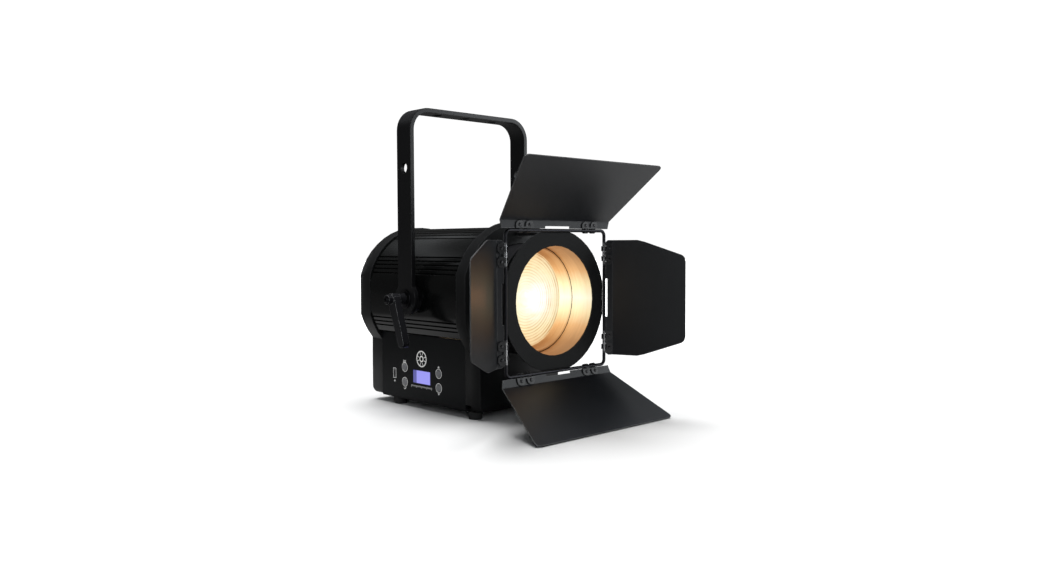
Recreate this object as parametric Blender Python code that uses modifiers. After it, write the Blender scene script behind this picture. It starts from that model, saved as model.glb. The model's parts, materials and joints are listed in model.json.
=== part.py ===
"""Fresnel spotlight with four barn-door leaves on a turning ring, a yoke and a motorised zoom lens.

Metres, +Z up. The light is thrown toward -Y, the yoke tilts about X and the control panel faces -X.
Shapes are built in lamp coordinates: X to the right and Z up from the optical axis, and Y backward
from the plane of the barn-door wire frame. The empty "lamp" places them in the world.
"""

import bmesh
import bpy
from math import acos, atan2, ceil, cos, degrees, pi, radians, sin, tau
from mathutils import Matrix, Vector

# Frame and envelope
AXIS_HEIGHT = 0.134  # optical axis above the underside of the base
TILT_Y = 0.167  # yoke pivot behind the wire frame
GAP = 0.0003  # left between pieces that touch

LARGE_ROUND, SMALL_ROUND, PIN_ROUND = 36, 16, 10  # sides of a round piece

# Housing
BARREL_R, BARREL_FLAT = 0.088, 0.0855
BARREL_WALL = 0.006
FRONT_R, FRONT_FLAT = 0.095, 0.090
REAR_R, REAR_FLAT = 0.090, 0.086
BASE_HALF = 0.068
BASE_CORNER = 0.008
SHELL_WALL = 0.004
FRONT_Y, FRONT_RIM_END, FRONT_LIP_END = 0.0615, 0.078, 0.088
REAR_START, REAR_END = 0.262, 0.290
EDGE_ROUND = 0.007
CLAW_ANGLES = (90, 210, 330)
GROOVE_WIDTH, GROOVE_DEPTH = 0.0020, 0.0035
TOP_GROOVES = [57.5 + 5 * i for i in range(14)]  # degrees round from the right side
UPPER_GROOVES = [20.3, 24.1, 27.9, 31.5, 35.3]  # degrees above the middle, each side
LOWER_GROOVES = [13.8, 18.3, 22.0, 25.6]  # degrees below it
FOOT_X, FOOT_YS, FOOT_R, FOOT_HEIGHT = 0.058, (0.082, 0.235), 0.009, 0.0088

# Optics
TUBE_R_IN, TUBE_R_OUT, TUBE_START, TUBE_END = 0.0650, 0.0675, 0.0045, 0.0745
FLANGE_R = 0.078
LENS_Y, SLEEVE_R, SLEEVE_WALL, SLEEVE_END = 0.037, 0.0643, 0.0020, 0.100
LENS_R, LENS_BACK, LENS_RINGS = 0.0610, 0.0045, 5  # LENS_BACK is its thickness at the rim
LENS_SEAT = 0.015  # depth in the sleeve of the ledge that the lens rests against
GUIDE_R, GUIDE_ANGLE, GUIDE_ROD_R = 0.073, 30, 0.003
SCREW_Z, SCREW_R = -0.076, 0.003
CHASSIS_Y = 0.146
SINK_Y, SINK_END, SINK_HALF = 0.1676, 0.230, 0.052

# Control panel
PANEL_THICK = 0.002
DISPLAY_MID, DISPLAY_HALF = (0.1755, -0.1022), (0.0182, 0.0083)
BUTTON_PLACES = {
    "button_mode": (0.211, -0.0923),
    "button_enter": (0.211, -0.1115),
    "button_up": (0.140, -0.0938),
    "button_down": (0.140, -0.1118),
}
BUTTON_R = 0.0048
PORT_MID, PORT_HALF = (0.2335, -0.1020), (0.0022, 0.0055)

# Fan and rear sockets
FAN_OPENING_R, FAN_Y, FAN_DEPTH = 0.043, 0.2355, 0.025
FAN_HUB_R, FAN_BLADES, BLADE_PITCH = 0.0160, 7, 38
SOCKET_XS, SOCKET_Z, SOCKET_WELL_R = (-0.048, -0.017, 0.017, 0.048), -0.105, 0.0095
LOOP_X, LOOP_Z, LOOP_WIRE_R = 0.012, 0.070, 0.0020

# Yoke
YOKE_WIDTH, YOKE_THICK = 0.028, 0.0054
YOKE_HALF, YOKE_TOP, YOKE_BEND = 0.0983, 0.2353, 0.028
YOKE_HOLE_R, YOKE_TOP_HOLES, YOKE_LEG_HOLE = 0.0065, (-0.046, 0.0, 0.046), 0.161
YOKE_EYE_R = 0.0205
STUD_R = 0.0048

# Clamp levers
HUB_R, CAP_R, HUB_START, HUB_END = 0.0068, 0.0058, 0.1004, 0.126
ARM_START, ARM_END, ARM_LENGTH, ARM_TIP_R, ARM_TURN = 0.110, 0.1195, 0.056, 0.0055, -20

# Barn doors
WIRE_HALF, WIRE_R, WIRE_BEND = 0.0825, 0.002, 0.006
RING_R, RING_FLAT, RING_Y, RING_THICK = 0.0844, 0.0820, 0.0023, 0.0015
LEAF_THICK = 0.0012
LEAF_START, LEAF_BEND, LEAF_END, LEAF_FOLD = 0.0038, 0.0115, 0.1040, 44
NOTCH_HALF, NOTCH_DEPTH = 0.025, 0.003
WIDE_START, WIDE_BEND, WIDE_END, WIDE_CORNER = 0.0885, 0.0910, 0.1150, 0.005
TALL_START, TALL_TAPER, TALL_END, TALL_CORNER = 0.0713, 0.0465, 0.0515, 0.009
CLIP_MID, CLIP_HALF, CURL_R, CURL_R_IN, CURL_LENGTH = 0.0545, 0.014, 0.0034, 0.00235, 0.008
RIVET_Z, RIVET_HOLE_R = 0.0073, 0.0016
# Each leaf: turn of its side about Y, and the angle of its main sheet from the wire frame's plane.
LEAVES = {
    "top": (0, 45.0),
    "right": (90, 68.5),
    "bottom": (180, 58.5),
    "left": (270, 31.5),
}

AXIS_Z, AXIS_Y, AXIS_X = (
    Matrix.Identity(4),
    Matrix.Rotation(-pi / 2, 4, "X"),
    Matrix.Rotation(pi / 2, 4, "Y"),
)


# Scene and materials


def clear_scene():
    for obj in list(bpy.data.objects):
        bpy.data.objects.remove(obj, do_unlink=True)


def collection(name):
    made = bpy.data.collections.new(name)
    bpy.context.scene.collection.children.link(made)
    return made


def material(name, colour, roughness, metallic=0.0):
    made = bpy.data.materials.new(name)
    made.use_nodes = True
    shader = made.node_tree.nodes["Principled BSDF"]
    shader.inputs["Base Color"].default_value = (*colour, 1.0)
    shader.inputs["Roughness"].default_value = roughness
    shader.inputs["Metallic"].default_value = metallic
    return made


clear_scene()
PARTS, CUTTERS = collection("fresnel_spotlight"), collection("cutters")
BLACK = material("black_powder_coat", (0.012, 0.012, 0.013), 0.45)
BARREL_BLACK = material("black_anodised", (0.018, 0.018, 0.020), 0.38, 0.6)
YOKE_BLACK = material("yoke_black", (0.016, 0.016, 0.017), 0.35)
LEAF_BLACK = material("leaf_black", (0.028, 0.028, 0.030), 0.50)
STEEL = material("zinc_steel", (0.55, 0.55, 0.56), 0.30, 1.0)
DARK_STEEL = material("blackened_steel", (0.05, 0.05, 0.055), 0.35, 0.8)
ALUMINIUM = material("bare_aluminium", (0.72, 0.72, 0.74), 0.35, 1.0)
RUBBER = material("rubber", (0.02, 0.02, 0.02), 0.85)
PLASTIC = material("black_plastic", (0.02, 0.02, 0.022), 0.5)
GREY_PLASTIC = material("grey_plastic", (0.30, 0.30, 0.31), 0.5)
GLASS = material("lens_glass", (0.95, 0.93, 0.86), 0.05)
SCREEN = material("lit_screen", (0.35, 0.38, 0.90), 0.15)
BOARD = material("circuit_board", (0.02, 0.12, 0.05), 0.5)
EMITTER = material("emitter_phosphor", (0.95, 0.75, 0.15), 0.4)
BRASS = material("brass", (0.75, 0.58, 0.25), 0.3, 1.0)


# Building blocks


def anchor(name, parent=None, place=(0, 0, 0), turn=None):
    """An empty that other objects are placed on, such as a joint's axis."""
    empty = bpy.data.objects.new(name, None)
    PARTS.objects.link(empty)
    empty.parent = parent
    empty.matrix_basis = Matrix.Translation(place) @ (turn or Matrix.Identity(4))
    return empty


def node(name, bm, finish, parent, smooth=30):
    """Turns a bmesh into the named object."""
    mesh = bpy.data.meshes.new(name)
    bm.to_mesh(mesh)
    bm.free()
    mesh.materials.append(finish)
    mesh.shade_smooth()
    mesh.set_sharp_from_angle(angle=radians(smooth))
    obj = bpy.data.objects.new(name, mesh)
    PARTS.objects.link(obj)
    obj.parent = parent
    return obj


def boolean(obj, bm, operation, overlapping=False):
    """Adds a Boolean with the bmesh as its operand, in the same local axes as the object."""
    mesh = bpy.data.meshes.new(obj.name + "_operand")
    bm.to_mesh(mesh)
    bm.free()
    other = bpy.data.objects.new(obj.name + "_operand", mesh)
    CUTTERS.objects.link(other)
    other.parent = obj
    other.hide_render = True
    other.display_type = "WIRE"
    step = obj.modifiers.new(operation.lower(), "BOOLEAN")
    step.operation = operation
    step.object = other
    step.solver = "EXACT"
    step.use_self = overlapping


def block(bm, low, high):
    low, high = Vector(low), Vector(high)
    scale = Matrix.Diagonal((*(high - low), 1))
    bmesh.ops.create_cube(bm, size=1, matrix=Matrix.Translation((low + high) / 2) @ scale)


def rod(bm, start, end, radius, sides=16, end_radius=None):
    start, end = Vector(start), Vector(end)
    turn = (end - start).to_track_quat("Z", "X").to_matrix().to_4x4()
    bmesh.ops.create_cone(
        bm,
        cap_ends=True,
        segments=sides,
        radius1=radius,
        radius2=radius if end_radius is None else end_radius,
        depth=(end - start).length,
        matrix=Matrix.Translation((start + end) / 2) @ turn,
    )


def blocks(*pairs):
    bm = bmesh.new()
    for low, high in pairs:
        block(bm, low, high)
    return bm


def rods(*rows):
    """Each row is start, end, radius and, if it isn't 16, the number of sides."""
    bm = bmesh.new()
    for row in rows:
        rod(bm, *row)
    return bm


def baked(holder):
    """The evaluated mesh of a helper object as a bmesh; the helper is removed."""
    bpy.context.scene.collection.objects.link(holder)
    graph = bpy.context.evaluated_depsgraph_get()
    mesh = bpy.data.meshes.new_from_object(holder.evaluated_get(graph))
    bm = bmesh.new()
    bm.from_mesh(mesh)
    bmesh.ops.remove_doubles(bm, verts=bm.verts, dist=1e-6)
    bpy.data.objects.remove(holder, do_unlink=True)
    bpy.data.meshes.remove(mesh)
    return bm


def prism(outlines, low, high, along="Y"):
    """Closed outlines, the first with the others as holes, extruded from low to high along an axis.

    The outline's two coordinates are x, z along Y; y, z along X; and x, y along Z.
    """
    curve = bpy.data.curves.new("outline", "CURVE")
    curve.dimensions = "2D"
    curve.fill_mode = "BOTH"
    curve.extrude = (high - low) / 2
    for outline in outlines:
        spline = curve.splines.new("POLY")
        spline.points.add(len(outline) - 1)
        for point, (u, v) in zip(spline.points, outline):
            point.co = (u, v, 0, 1)
        spline.use_cyclic_u = True
    bm = baked(bpy.data.objects.new("outline", curve))
    middle = (low + high) / 2
    turn = {
        "X": Matrix(((0, 0, 1, middle), (1, 0, 0, 0), (0, 1, 0, 0), (0, 0, 0, 1))),
        "Y": Matrix(((1, 0, 0, 0), (0, 0, -1, middle), (0, 1, 0, 0), (0, 0, 0, 1))),
        "Z": Matrix.Translation((0, 0, middle)),
    }[along]
    bm.transform(turn)
    if high > low:
        bmesh.ops.recalc_face_normals(bm, faces=bm.faces)
    return bm


def turned(profile, steps=LARGE_ROUND, axis=AXIS_Y, place=(0, 0, 0), closed=True):
    """A turned shape. The profile's (radius, position) points run down its outer side first."""
    mesh = bpy.data.meshes.new("profile")
    points = [(r, 0, h) for r, h in profile]
    edges = [(i, i + 1) for i in range(len(points) - 1)]
    if closed:
        edges.append((len(points) - 1, 0))
    mesh.from_pydata(points, edges, [])
    holder = bpy.data.objects.new("profile", mesh)
    screw = holder.modifiers.new("turn", "SCREW")
    screw.axis = "Z"
    screw.steps = screw.render_steps = steps
    screw.use_merge_vertices = True
    screw.merge_threshold = 1e-5
    bm = baked(holder)
    bm.transform(Matrix.Translation(place) @ axis)
    bmesh.ops.recalc_face_normals(bm, faces=bm.faces)
    return bm


def ring(r_in, r_out, low, high, steps=LARGE_ROUND, axis=AXIS_Y, place=(0, 0, 0)):
    profile = [(r_out, high), (r_out, low), (r_in, low), (r_in, high)]
    return turned(profile, steps, axis, place)


def gather(*pieces):
    """One bmesh that holds several, each still its own closed body."""
    whole = bmesh.new()
    for bm in pieces:
        mesh = bpy.data.meshes.new("piece")
        bm.to_mesh(mesh)
        bm.free()
        whole.from_mesh(mesh)
        bpy.data.meshes.remove(mesh)
    return whole


def arc(centre, radius, start, end, step=9.0):
    """Points round a centre from start to end degrees, no more than step apart."""
    count = max(2, ceil(abs(end - start) / step) + 1)
    angles = [radians(start + (end - start) * i / (count - 1)) for i in range(count)]
    return [(centre[0] + radius * cos(a), centre[1] + radius * sin(a)) for a in angles]


def rectangle(middle, half, corner=0.0):
    (cu, cv), (hu, hv) = middle, half
    if not corner:
        return [(cu - hu, cv - hv), (cu + hu, cv - hv), (cu + hu, cv + hv), (cu - hu, cv + hv)]
    points = []
    for start, su, sv in ((180, -1, -1), (270, 1, -1), (0, 1, 1), (90, -1, 1)):
        centre = (cu + su * (hu - corner), cv + sv * (hv - corner))
        points += arc(centre, corner, start, start + 90, 30)
    return points


def circle(radius, centre=(0, 0), step=12):
    return arc(centre, radius, 0, 360, step)[:-1]


def mirrored(half):
    """A right-hand half outline, run from the bottom to the top, closed by its mirror image."""
    return half + [(-x, z) for x, z in reversed(half) if abs(x) > 1e-6]


def housing_outline(radius, flat, inset=0.0):
    """The end castings' outline: a circle with flat sides on a square base with rounded corners."""
    radius, flat, half = radius - inset, flat - inset, BASE_HALF - inset
    bottom, corner = -AXIS_HEIGHT + inset, max(BASE_CORNER - inset, 0.002)
    join = -degrees(acos(half / radius))
    side = degrees(acos(flat / radius))
    points = arc((half - corner, bottom + corner), corner, -90, 0, 30)
    points += arc((0, 0), radius, join, -side)
    points += arc((0, 0), radius, side, 90)
    return mirrored(points)


def rounded_front(bm, y, size):
    """Bevels the outer edges of the face in the plane at y."""
    flat = [f for f in bm.faces if all(abs(v.co.y - y) < 1e-5 for v in f.verts)]
    edges = [e for e in bm.edges if sum(f in flat for f in e.link_faces) == 1]
    outer = [e for e in edges if all(Vector((v.co.x, 0, v.co.z)).length > 0.08 for v in e.verts)]
    bmesh.ops.bevel(bm, geom=outer, offset=size, segments=2, profile=0.5, affect="EDGES")


# Housing


def front_casting(lamp):
    outline = housing_outline(FRONT_R, FRONT_FLAT)
    bm = prism([outline], FRONT_Y, FRONT_RIM_END)
    rounded_front(bm, FRONT_Y, EDGE_ROUND)
    casting = node("front_casting", bm, BLACK, lamp)
    lip = BASE_HALF - SHELL_WALL, BASE_HALF
    bottom, top = -AXIS_HEIGHT + BASE_CORNER, -0.054
    sides = [
        ((min(s * lip[0], s * lip[1]), FRONT_RIM_END - 0.002, bottom),
         (max(s * lip[0], s * lip[1]), FRONT_LIP_END, top))
        for s in (-1, 1)
    ]
    floor = ((-BASE_HALF + BASE_CORNER, FRONT_RIM_END - 0.002, -AXIS_HEIGHT),
             (BASE_HALF - BASE_CORNER, FRONT_LIP_END, -AXIS_HEIGHT + SHELL_WALL))
    pocket = prism([housing_outline(FRONT_R, FRONT_FLAT, SHELL_WALL)], FRONT_Y + 0.0045, 0.079)
    opening = rods(((0, 0.05, 0), (0, 0.08, 0), TUBE_R_OUT + GAP, LARGE_ROUND))
    boolean(casting, pocket, "DIFFERENCE")
    boolean(casting, opening, "DIFFERENCE")
    boolean(casting, blocks(*sides, floor), "UNION")
    boolean(casting, claws(), "UNION")


def claws():
    """Three cast arms whose hooks hold the barn-door collar's rim, so that it can turn."""
    root = FRONT_Y + 0.001
    side = [(root, 0.0770), (root, 0.0850), (FRONT_Y - 0.003, 0.0820), (0.0165, 0.0795), (0.0165, 0.0718)]
    side += [(0.0190, 0.0718), (0.0190, 0.0770)]
    arms = []
    for angle in CLAW_ANGLES:
        arm = prism([side], -0.007, 0.007, "X")
        arm.transform(Matrix.Rotation(radians(90 - angle), 4, "Y"))
        arms.append(arm)
    return gather(*arms)


def rear_casting(lamp):
    bm = prism([housing_outline(REAR_R, REAR_FLAT)], REAR_START, REAR_END)
    rounded_front(bm, REAR_END, EDGE_ROUND)
    casting = node("rear_casting", bm, BLACK, lamp)
    inside = housing_outline(REAR_R, REAR_FLAT, SHELL_WALL)
    pocket = prism([inside], REAR_START - 0.001, REAR_END - 0.0045)
    boolean(casting, pocket, "DIFFERENCE")
    holes = rods(((0, 0.28, 0), (0, 0.30, 0), FAN_OPENING_R, LARGE_ROUND))
    for x in SOCKET_XS:
        block(holes, (x - 0.0125, 0.28, SOCKET_Z - 0.015), (x + 0.0125, 0.30, SOCKET_Z + 0.015))
    for x in (-LOOP_X, LOOP_X):
        rod(holes, (x, 0.28, LOOP_Z), (x, 0.30, LOOP_Z), LOOP_WIRE_R + GAP, 12)
    boolean(casting, holes, "DIFFERENCE")


def barrel(lamp):
    """The finned extrusion: a ring open at its base, with grooves cut across its outer side."""
    def groove(angle):
        wide = degrees(GROOVE_WIDTH / 2 / BARREL_R)
        deep = BARREL_R - GROOVE_DEPTH
        out = []
        for radius, shift in ((BARREL_R, -wide), (deep, -wide), (deep, wide), (BARREL_R, wide)):
            a = radians(angle + shift)
            out.append((radius * cos(a), radius * sin(a)))
        return out

    side = degrees(acos(BARREL_FLAT / BARREL_R))
    lowest = -31.5
    right = [(BASE_HALF, BARREL_R * sin(radians(lowest)) - 0.001)]
    right += arc((0, 0), BARREL_R, lowest, -LOWER_GROOVES[-1] - 1.2)
    for angle in reversed(LOWER_GROOVES[1:]):
        right += groove(-angle)
    right += arc((0, 0), BARREL_R, -16.8, -side)
    right += arc((0, 0), BARREL_R, side, 19.2)
    for angle in UPPER_GROOVES:
        right += groove(angle)
    right += arc((0, 0), BARREL_R, 37, TOP_GROOVES[0] - 1.2)
    for angle in TOP_GROOVES[:7]:
        right += groove(angle)
    inner_r, inner_flat = BARREL_R - BARREL_WALL, BARREL_FLAT - 0.0045
    inner = arc((0, 0), inner_r, 90, degrees(acos(inner_flat / inner_r)))
    inner += arc((0, 0), inner_r, -degrees(acos(inner_flat / inner_r)), -33)
    inner.append((BASE_HALF - 0.004, -0.0485))
    outer = right + [(-x, z) for x, z in reversed(right)]
    inside = [(-x, z) for x, z in reversed(inner)] + inner[1:]
    shell = prism([outer + inside], FRONT_RIM_END + GAP, REAR_START - GAP)
    bores = rods(((-0.1, TILT_Y, 0), (0.1, TILT_Y, 0), STUD_R + GAP, 20))
    obj = node("barrel_extrusion", shell, BARREL_BLACK, lamp)
    boolean(obj, bores, "DIFFERENCE")


def base(lamp):
    """The tray under the base, with lips that the side panels stand against."""
    low, start, end = -AXIS_HEIGHT, FRONT_LIP_END + GAP, REAR_START - GAP
    edge, wall = BASE_HALF - 0.0006, 0.0015
    lip_out, lip_top = BASE_HALF - PANEL_THICK - GAP, low + 0.014
    profile = [(-edge, low), (edge, low), (edge, low + wall), (lip_out, low + wall)]
    profile += [(lip_out, lip_top), (lip_out - wall, lip_top), (lip_out - wall, low + wall + 0.0005)]
    profile += [(-x, z) for x, z in reversed(profile[3:])] + [(-edge, low + wall)]
    tray = node("base_tray", prism([profile], start, end), BLACK, lamp)
    vents = blocks(*[((-0.035, 0.115 + 0.008 * i, low - 0.01), (0.035, 0.118 + 0.008 * i, low + 0.01))
                     for i in range(9)])
    for x in (-FOOT_X, FOOT_X):
        rod(vents, (x, FOOT_YS[1], low - 0.01), (x, FOOT_YS[1], low + 0.01), 0.0021, 12)
    boolean(tray, vents, "DIFFERENCE")


def side_panels(lamp):
    """The control panel on the left, cut out for the display, buttons and port, and a plain one."""
    low, high = -AXIS_HEIGHT + 0.0015 + GAP, -0.0485
    outline = [(FRONT_LIP_END + GAP, low), (REAR_START - GAP, low),
               (REAR_START - GAP, high), (FRONT_LIP_END + GAP, high)]
    holes = [rectangle(DISPLAY_MID, DISPLAY_HALF), rectangle(PORT_MID, PORT_HALF)]
    holes += [circle(BUTTON_R + 0.0003, at, 20) for at in BUTTON_PLACES.values()]
    left = prism([outline, *holes], -BASE_HALF, -BASE_HALF + PANEL_THICK, "X")
    node("control_panel", left, BLACK, lamp)
    slots = [rectangle((0.225, -0.070 - 0.007 * i), (0.020, 0.0015)) for i in range(6)]
    right = prism([outline, *slots], BASE_HALF - PANEL_THICK, BASE_HALF, "X")
    node("side_panel_right", right, BLACK, lamp)


def feet(lamp):
    """Four rubber cups, each with a recess for its screw."""
    top = -AXIS_HEIGHT - GAP
    low = top - FOOT_HEIGHT
    step = low + 0.0045
    cup = [(FOOT_R, top), (FOOT_R - 0.001, low), (0.0046, low), (0.0046, step), (0.0021, step), (0.0021, top)]
    for across, x in (("left", -FOOT_X), ("right", FOOT_X)):
        for along, y in zip(("front", "rear"), FOOT_YS):
            node(f"foot_{along}_{across}", turned(cup, SMALL_ROUND, AXIS_Z, (x, y, 0)), RUBBER, lamp)


def pivots(lamp):
    """On each side a stud with a boss: it runs through the barrel wall, and the boss spaces the yoke off it."""
    inside, face, yoke_in = 0.0757, BARREL_FLAT + GAP, YOKE_HALF - YOKE_THICK - GAP
    profile = [(0, 0.1060), (STUD_R, 0.1060), (STUD_R, yoke_in), (0.0165, yoke_in), (0.0180, face)]
    profile += [(STUD_R, face), (STUD_R, inside), (0, inside)]
    for side, turn in (("left", -pi / 2), ("right", pi / 2)):
        bm = turned(profile, 20, Matrix.Rotation(turn, 4, "Y"), (0, TILT_Y, 0), closed=False)
        node(f"pivot_stud_{side}", bm, DARK_STEEL, lamp)


# Yoke and its clamp levers


def yoke(lamp):
    pivot = anchor("yoke_pivot", lamp, (0, TILT_Y, 0))
    inner_r = YOKE_BEND - YOKE_THICK
    centre = (YOKE_HALF - YOKE_BEND, YOKE_TOP - YOKE_BEND)
    inner_top = YOKE_TOP - YOKE_THICK
    outside = [(YOKE_HALF, 0)] + arc(centre, YOKE_BEND, 0, 90, 11)
    inside = [(0, inner_top)] + arc(centre, inner_r, 90, 0, 11) + [(YOKE_HALF - YOKE_THICK, 0)]
    outline = outside + [(-x, z) for x, z in reversed(outside)]
    outline += [(-x, z) for x, z in reversed(inside)] + inside[1:]
    bm = prism([outline], -YOKE_WIDTH / 2, YOKE_WIDTH / 2)
    bar = node("yoke", bm, YOKE_BLACK, pivot)
    inner = YOKE_HALF - YOKE_THICK
    eyes = rods(*[((s * YOKE_HALF, 0, 0), (s * inner, 0, 0), YOKE_EYE_R, 24) for s in (-1, 1)])
    boolean(bar, eyes, "UNION")
    low, high = YOKE_TOP - 0.01, YOKE_TOP + 0.01
    holes = rods(*[((x, 0, low), (x, 0, high), YOKE_HOLE_R, SMALL_ROUND) for x in YOKE_TOP_HOLES])
    rod(holes, (-0.11, 0, YOKE_LEG_HOLE), (0.11, 0, YOKE_LEG_HOLE), YOKE_HOLE_R, SMALL_ROUND)
    rod(holes, (-0.11, 0, 0), (0.11, 0, 0), STUD_R + 0.0004, SMALL_ROUND)
    boolean(bar, holes, "DIFFERENCE")


def clamp_levers(lamp):
    """A cast lever each side: a hub on the pivot bolt's end, and an arm that hangs from it."""
    for side, s in (("left", -1), ("right", 1)):
        pivot = anchor(f"lever_axis_{side}", lamp, (0, TILT_Y, 0), Matrix.Rotation(radians(ARM_TURN), 4, "X"))
        low, high = sorted((s * ARM_START, s * ARM_END))
        tip = (0, -ARM_LENGTH)
        arm = arc((0, 0), 0.0072, 0, 180, 20) + arc(tip, ARM_TIP_R, 180, 360, 20)
        lever = node(f"clamp_lever_{side}", prism([arm], low, high, "X"), YOKE_BLACK, pivot)
        hub = rods(((s * HUB_START, 0, 0), (s * (ARM_START + 0.002), 0, 0), HUB_R, SMALL_ROUND),
                   ((s * (ARM_END - 0.002), 0, 0), (s * HUB_END, 0, 0), CAP_R, SMALL_ROUND))
        boolean(lever, hub, "UNION")
        bore = rods(((s * (HUB_START - 0.001), 0, 0), (s * 0.1075, 0, 0), STUD_R + 0.0004, SMALL_ROUND))
        boolean(lever, bore, "DIFFERENCE")


# Optics


def lens_tube(lamp):
    flange = FRONT_Y + 0.0045 + GAP
    profile = [(TUBE_R_OUT, TUBE_END), (TUBE_R_OUT, flange + 0.003), (FLANGE_R, flange + 0.003)]
    profile += [(FLANGE_R, flange), (TUBE_R_OUT, flange), (TUBE_R_OUT, TUBE_START)]
    profile += [(TUBE_R_IN, TUBE_START), (TUBE_R_IN, TUBE_END)]
    node("lens_tube", turned(profile), BLACK, lamp)


def zoom_optics(lamp):
    """The pieces that slide together: sleeve, lens, its clip ring, carriage plate and nut."""
    slide = anchor("zoom_slide", lamp, (0, LENS_Y, 0))
    back = SLEEVE_END - LENS_Y
    r_in = SLEEVE_R - SLEEVE_WALL
    lip = LENS_R - 0.002
    sleeve = [(SLEEVE_R, back), (SLEEVE_R, 0), (r_in, 0), (r_in, LENS_SEAT), (lip, LENS_SEAT)]
    sleeve += [(lip, LENS_SEAT + 0.0016), (r_in, LENS_SEAT + 0.0016), (r_in, back)]
    node("lens_sleeve", turned(sleeve), BLACK, slide)
    node("fresnel_lens", turned(fresnel_profile(), closed=False), GLASS, slide)
    rear = LENS_SEAT + 0.0016 + GAP + LENS_BACK
    node("lens_clip_ring", ring(LENS_R - 0.0025, r_in - GAP, rear + GAP, rear + 0.002), DARK_STEEL, slide)
    plate_y = back + GAP
    edge = arc((0, 0), 0.0665, -75, 18)
    edge += arc((GUIDE_R * cos(radians(30)), GUIDE_R * sin(radians(30))), 0.0070, -30, 90, 20)
    edge += arc((0, 0), 0.0665, 42, 90)
    lug = [(0.011, SCREW_Z - 0.008), (0.011, -0.0658)]
    plate = prism([mirrored(lug + edge)], plate_y, plate_y + 0.003)
    carriage = node("carriage_plate", plate, ALUMINIUM, slide)
    holes = rods(((0, plate_y - 0.01, 0), (0, plate_y + 0.01, 0), 0.0590, LARGE_ROUND),
                 ((0, plate_y - 0.01, SCREW_Z), (0, plate_y + 0.01, SCREW_Z), 0.0053, 20))
    for x, z in guide_places():
        rod(holes, (x, plate_y - 0.01, z), (x, plate_y + 0.01, z), GUIDE_ROD_R + GAP, 20)
    boolean(carriage, holes, "DIFFERENCE")
    face, front, rear = plate_y - GAP, plate_y - 0.0035, plate_y + 0.003
    nut = [(0.0050, rear), (0.0050, face), (0.0085, face), (0.0085, front)]
    nut += [(SCREW_R + GAP, front), (SCREW_R + GAP, rear)]
    node("drive_nut", turned(nut, SMALL_ROUND, AXIS_Y, (0, 0, SCREW_Z)), BRASS, slide)



def fresnel_profile():
    """Half section of the lens: flat back, and a front of stepped rings that each slope outward."""
    front = LENS_SEAT + 0.0016 + GAP
    back = front + LENS_BACK
    width = (LENS_R - 0.003) / LENS_RINGS
    profile = [(0, back), (LENS_R, back), (LENS_R, front), (LENS_R - 0.003, front)]
    for i in range(LENS_RINGS - 1, 0, -1):
        profile += [((i + 1) * width - 0.0002, front + 0.0021), (i * width, front + 0.0004)]
    profile += [(width * 0.6, front - 0.0004), (0, front - 0.0006)]
    return profile


def guide_places():
    a = radians(GUIDE_ANGLE)
    return [(s * GUIDE_R * cos(a), GUIDE_R * sin(a)) for s in (-1, 1)]


def zoom_drive(lamp):
    start, end = FRONT_Y + 0.0045 + GAP + 0.003 + GAP, CHASSIS_Y - GAP
    for side, (x, z) in zip(("left", "right"), guide_places()):
        node(f"guide_rod_{side}", rods(((x, start, z), (x, end, z), GUIDE_ROD_R)), STEEL, lamp)
    axis = anchor("screw_axis", lamp, (0, 0, SCREW_Z))
    rear = CHASSIS_Y + 0.0030
    spindle = [(0, rear), (SCREW_R, rear), (SCREW_R, 0.0835), (0.0022, 0.0830), (0.0022, 0.0800), (0, 0.0800)]
    node("zoom_screw", turned(spindle, 16, closed=False), STEEL, axis)
    y = CHASSIS_Y + 0.003 + GAP
    motor = node("zoom_motor", rods(((0, y, SCREW_Z), (0, y + 0.022, SCREW_Z), 0.0140, 28)), DARK_STEEL, lamp)
    ears = blocks(((-0.021, y + GAP, SCREW_Z - 0.0045), (0.021, y + 0.0015, SCREW_Z + 0.0045)))
    boolean(motor, ears, "UNION")


def light_engine(lamp):
    """Chassis plate, reflector, LED board and the finned heat sink behind it."""
    edge = arc((0, 0), 0.079, -58, 90, 12)
    lug = [(0.022, -0.098), (0.024, -0.0665)]
    plate = prism([mirrored(lug + edge)], CHASSIS_Y, CHASSIS_Y + 0.002)
    chassis = node("chassis_plate", plate, ALUMINIUM, lamp)
    holes = rods(((0, 0.13, 0), (0, 0.16, 0), 0.0345, 32), ((0, 0.13, SCREW_Z), (0, 0.16, SCREW_Z), 0.0042, 16))
    boolean(chassis, holes, "DIFFERENCE")
    cup = [(0.0340, 0.1376), (0.0165, 0.1636), (0.0150, 0.1636), (0.0325, 0.1376)]
    node("reflector", turned(list(reversed(cup)), 24), ALUMINIUM, lamp)
    board = SINK_Y - GAP
    led = node("led_board", blocks(((-0.020, board - 0.002, -0.020), (0.020, board, 0.020))), EMITTER, lamp)
    boolean(led, rods(((0, board - 0.0034, 0), (0, board - 0.001, 0), 0.0130, 24)), "UNION")
    fins = 13
    pitch = (2 * SINK_HALF - 0.0018) / (fins - 1)
    comb = [(SINK_HALF, SINK_Y), (SINK_HALF, SINK_END)]
    for i in range(fins - 1, -1, -1):
        left = -SINK_HALF + i * pitch
        comb += [(left + 0.0018, SINK_END), (left, SINK_END)][1 if i == fins - 1 else 0:]
        if i:
            comb += [(left, SINK_Y + 0.007), (left - pitch + 0.0018, SINK_Y + 0.007)]
    comb.append((-SINK_HALF, SINK_Y))
    node("heat_sink", prism([comb], -SINK_HALF + 0.004, SINK_HALF - 0.004, "Z"), ALUMINIUM, lamp)


# Fan, rear fittings and electronics


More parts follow.
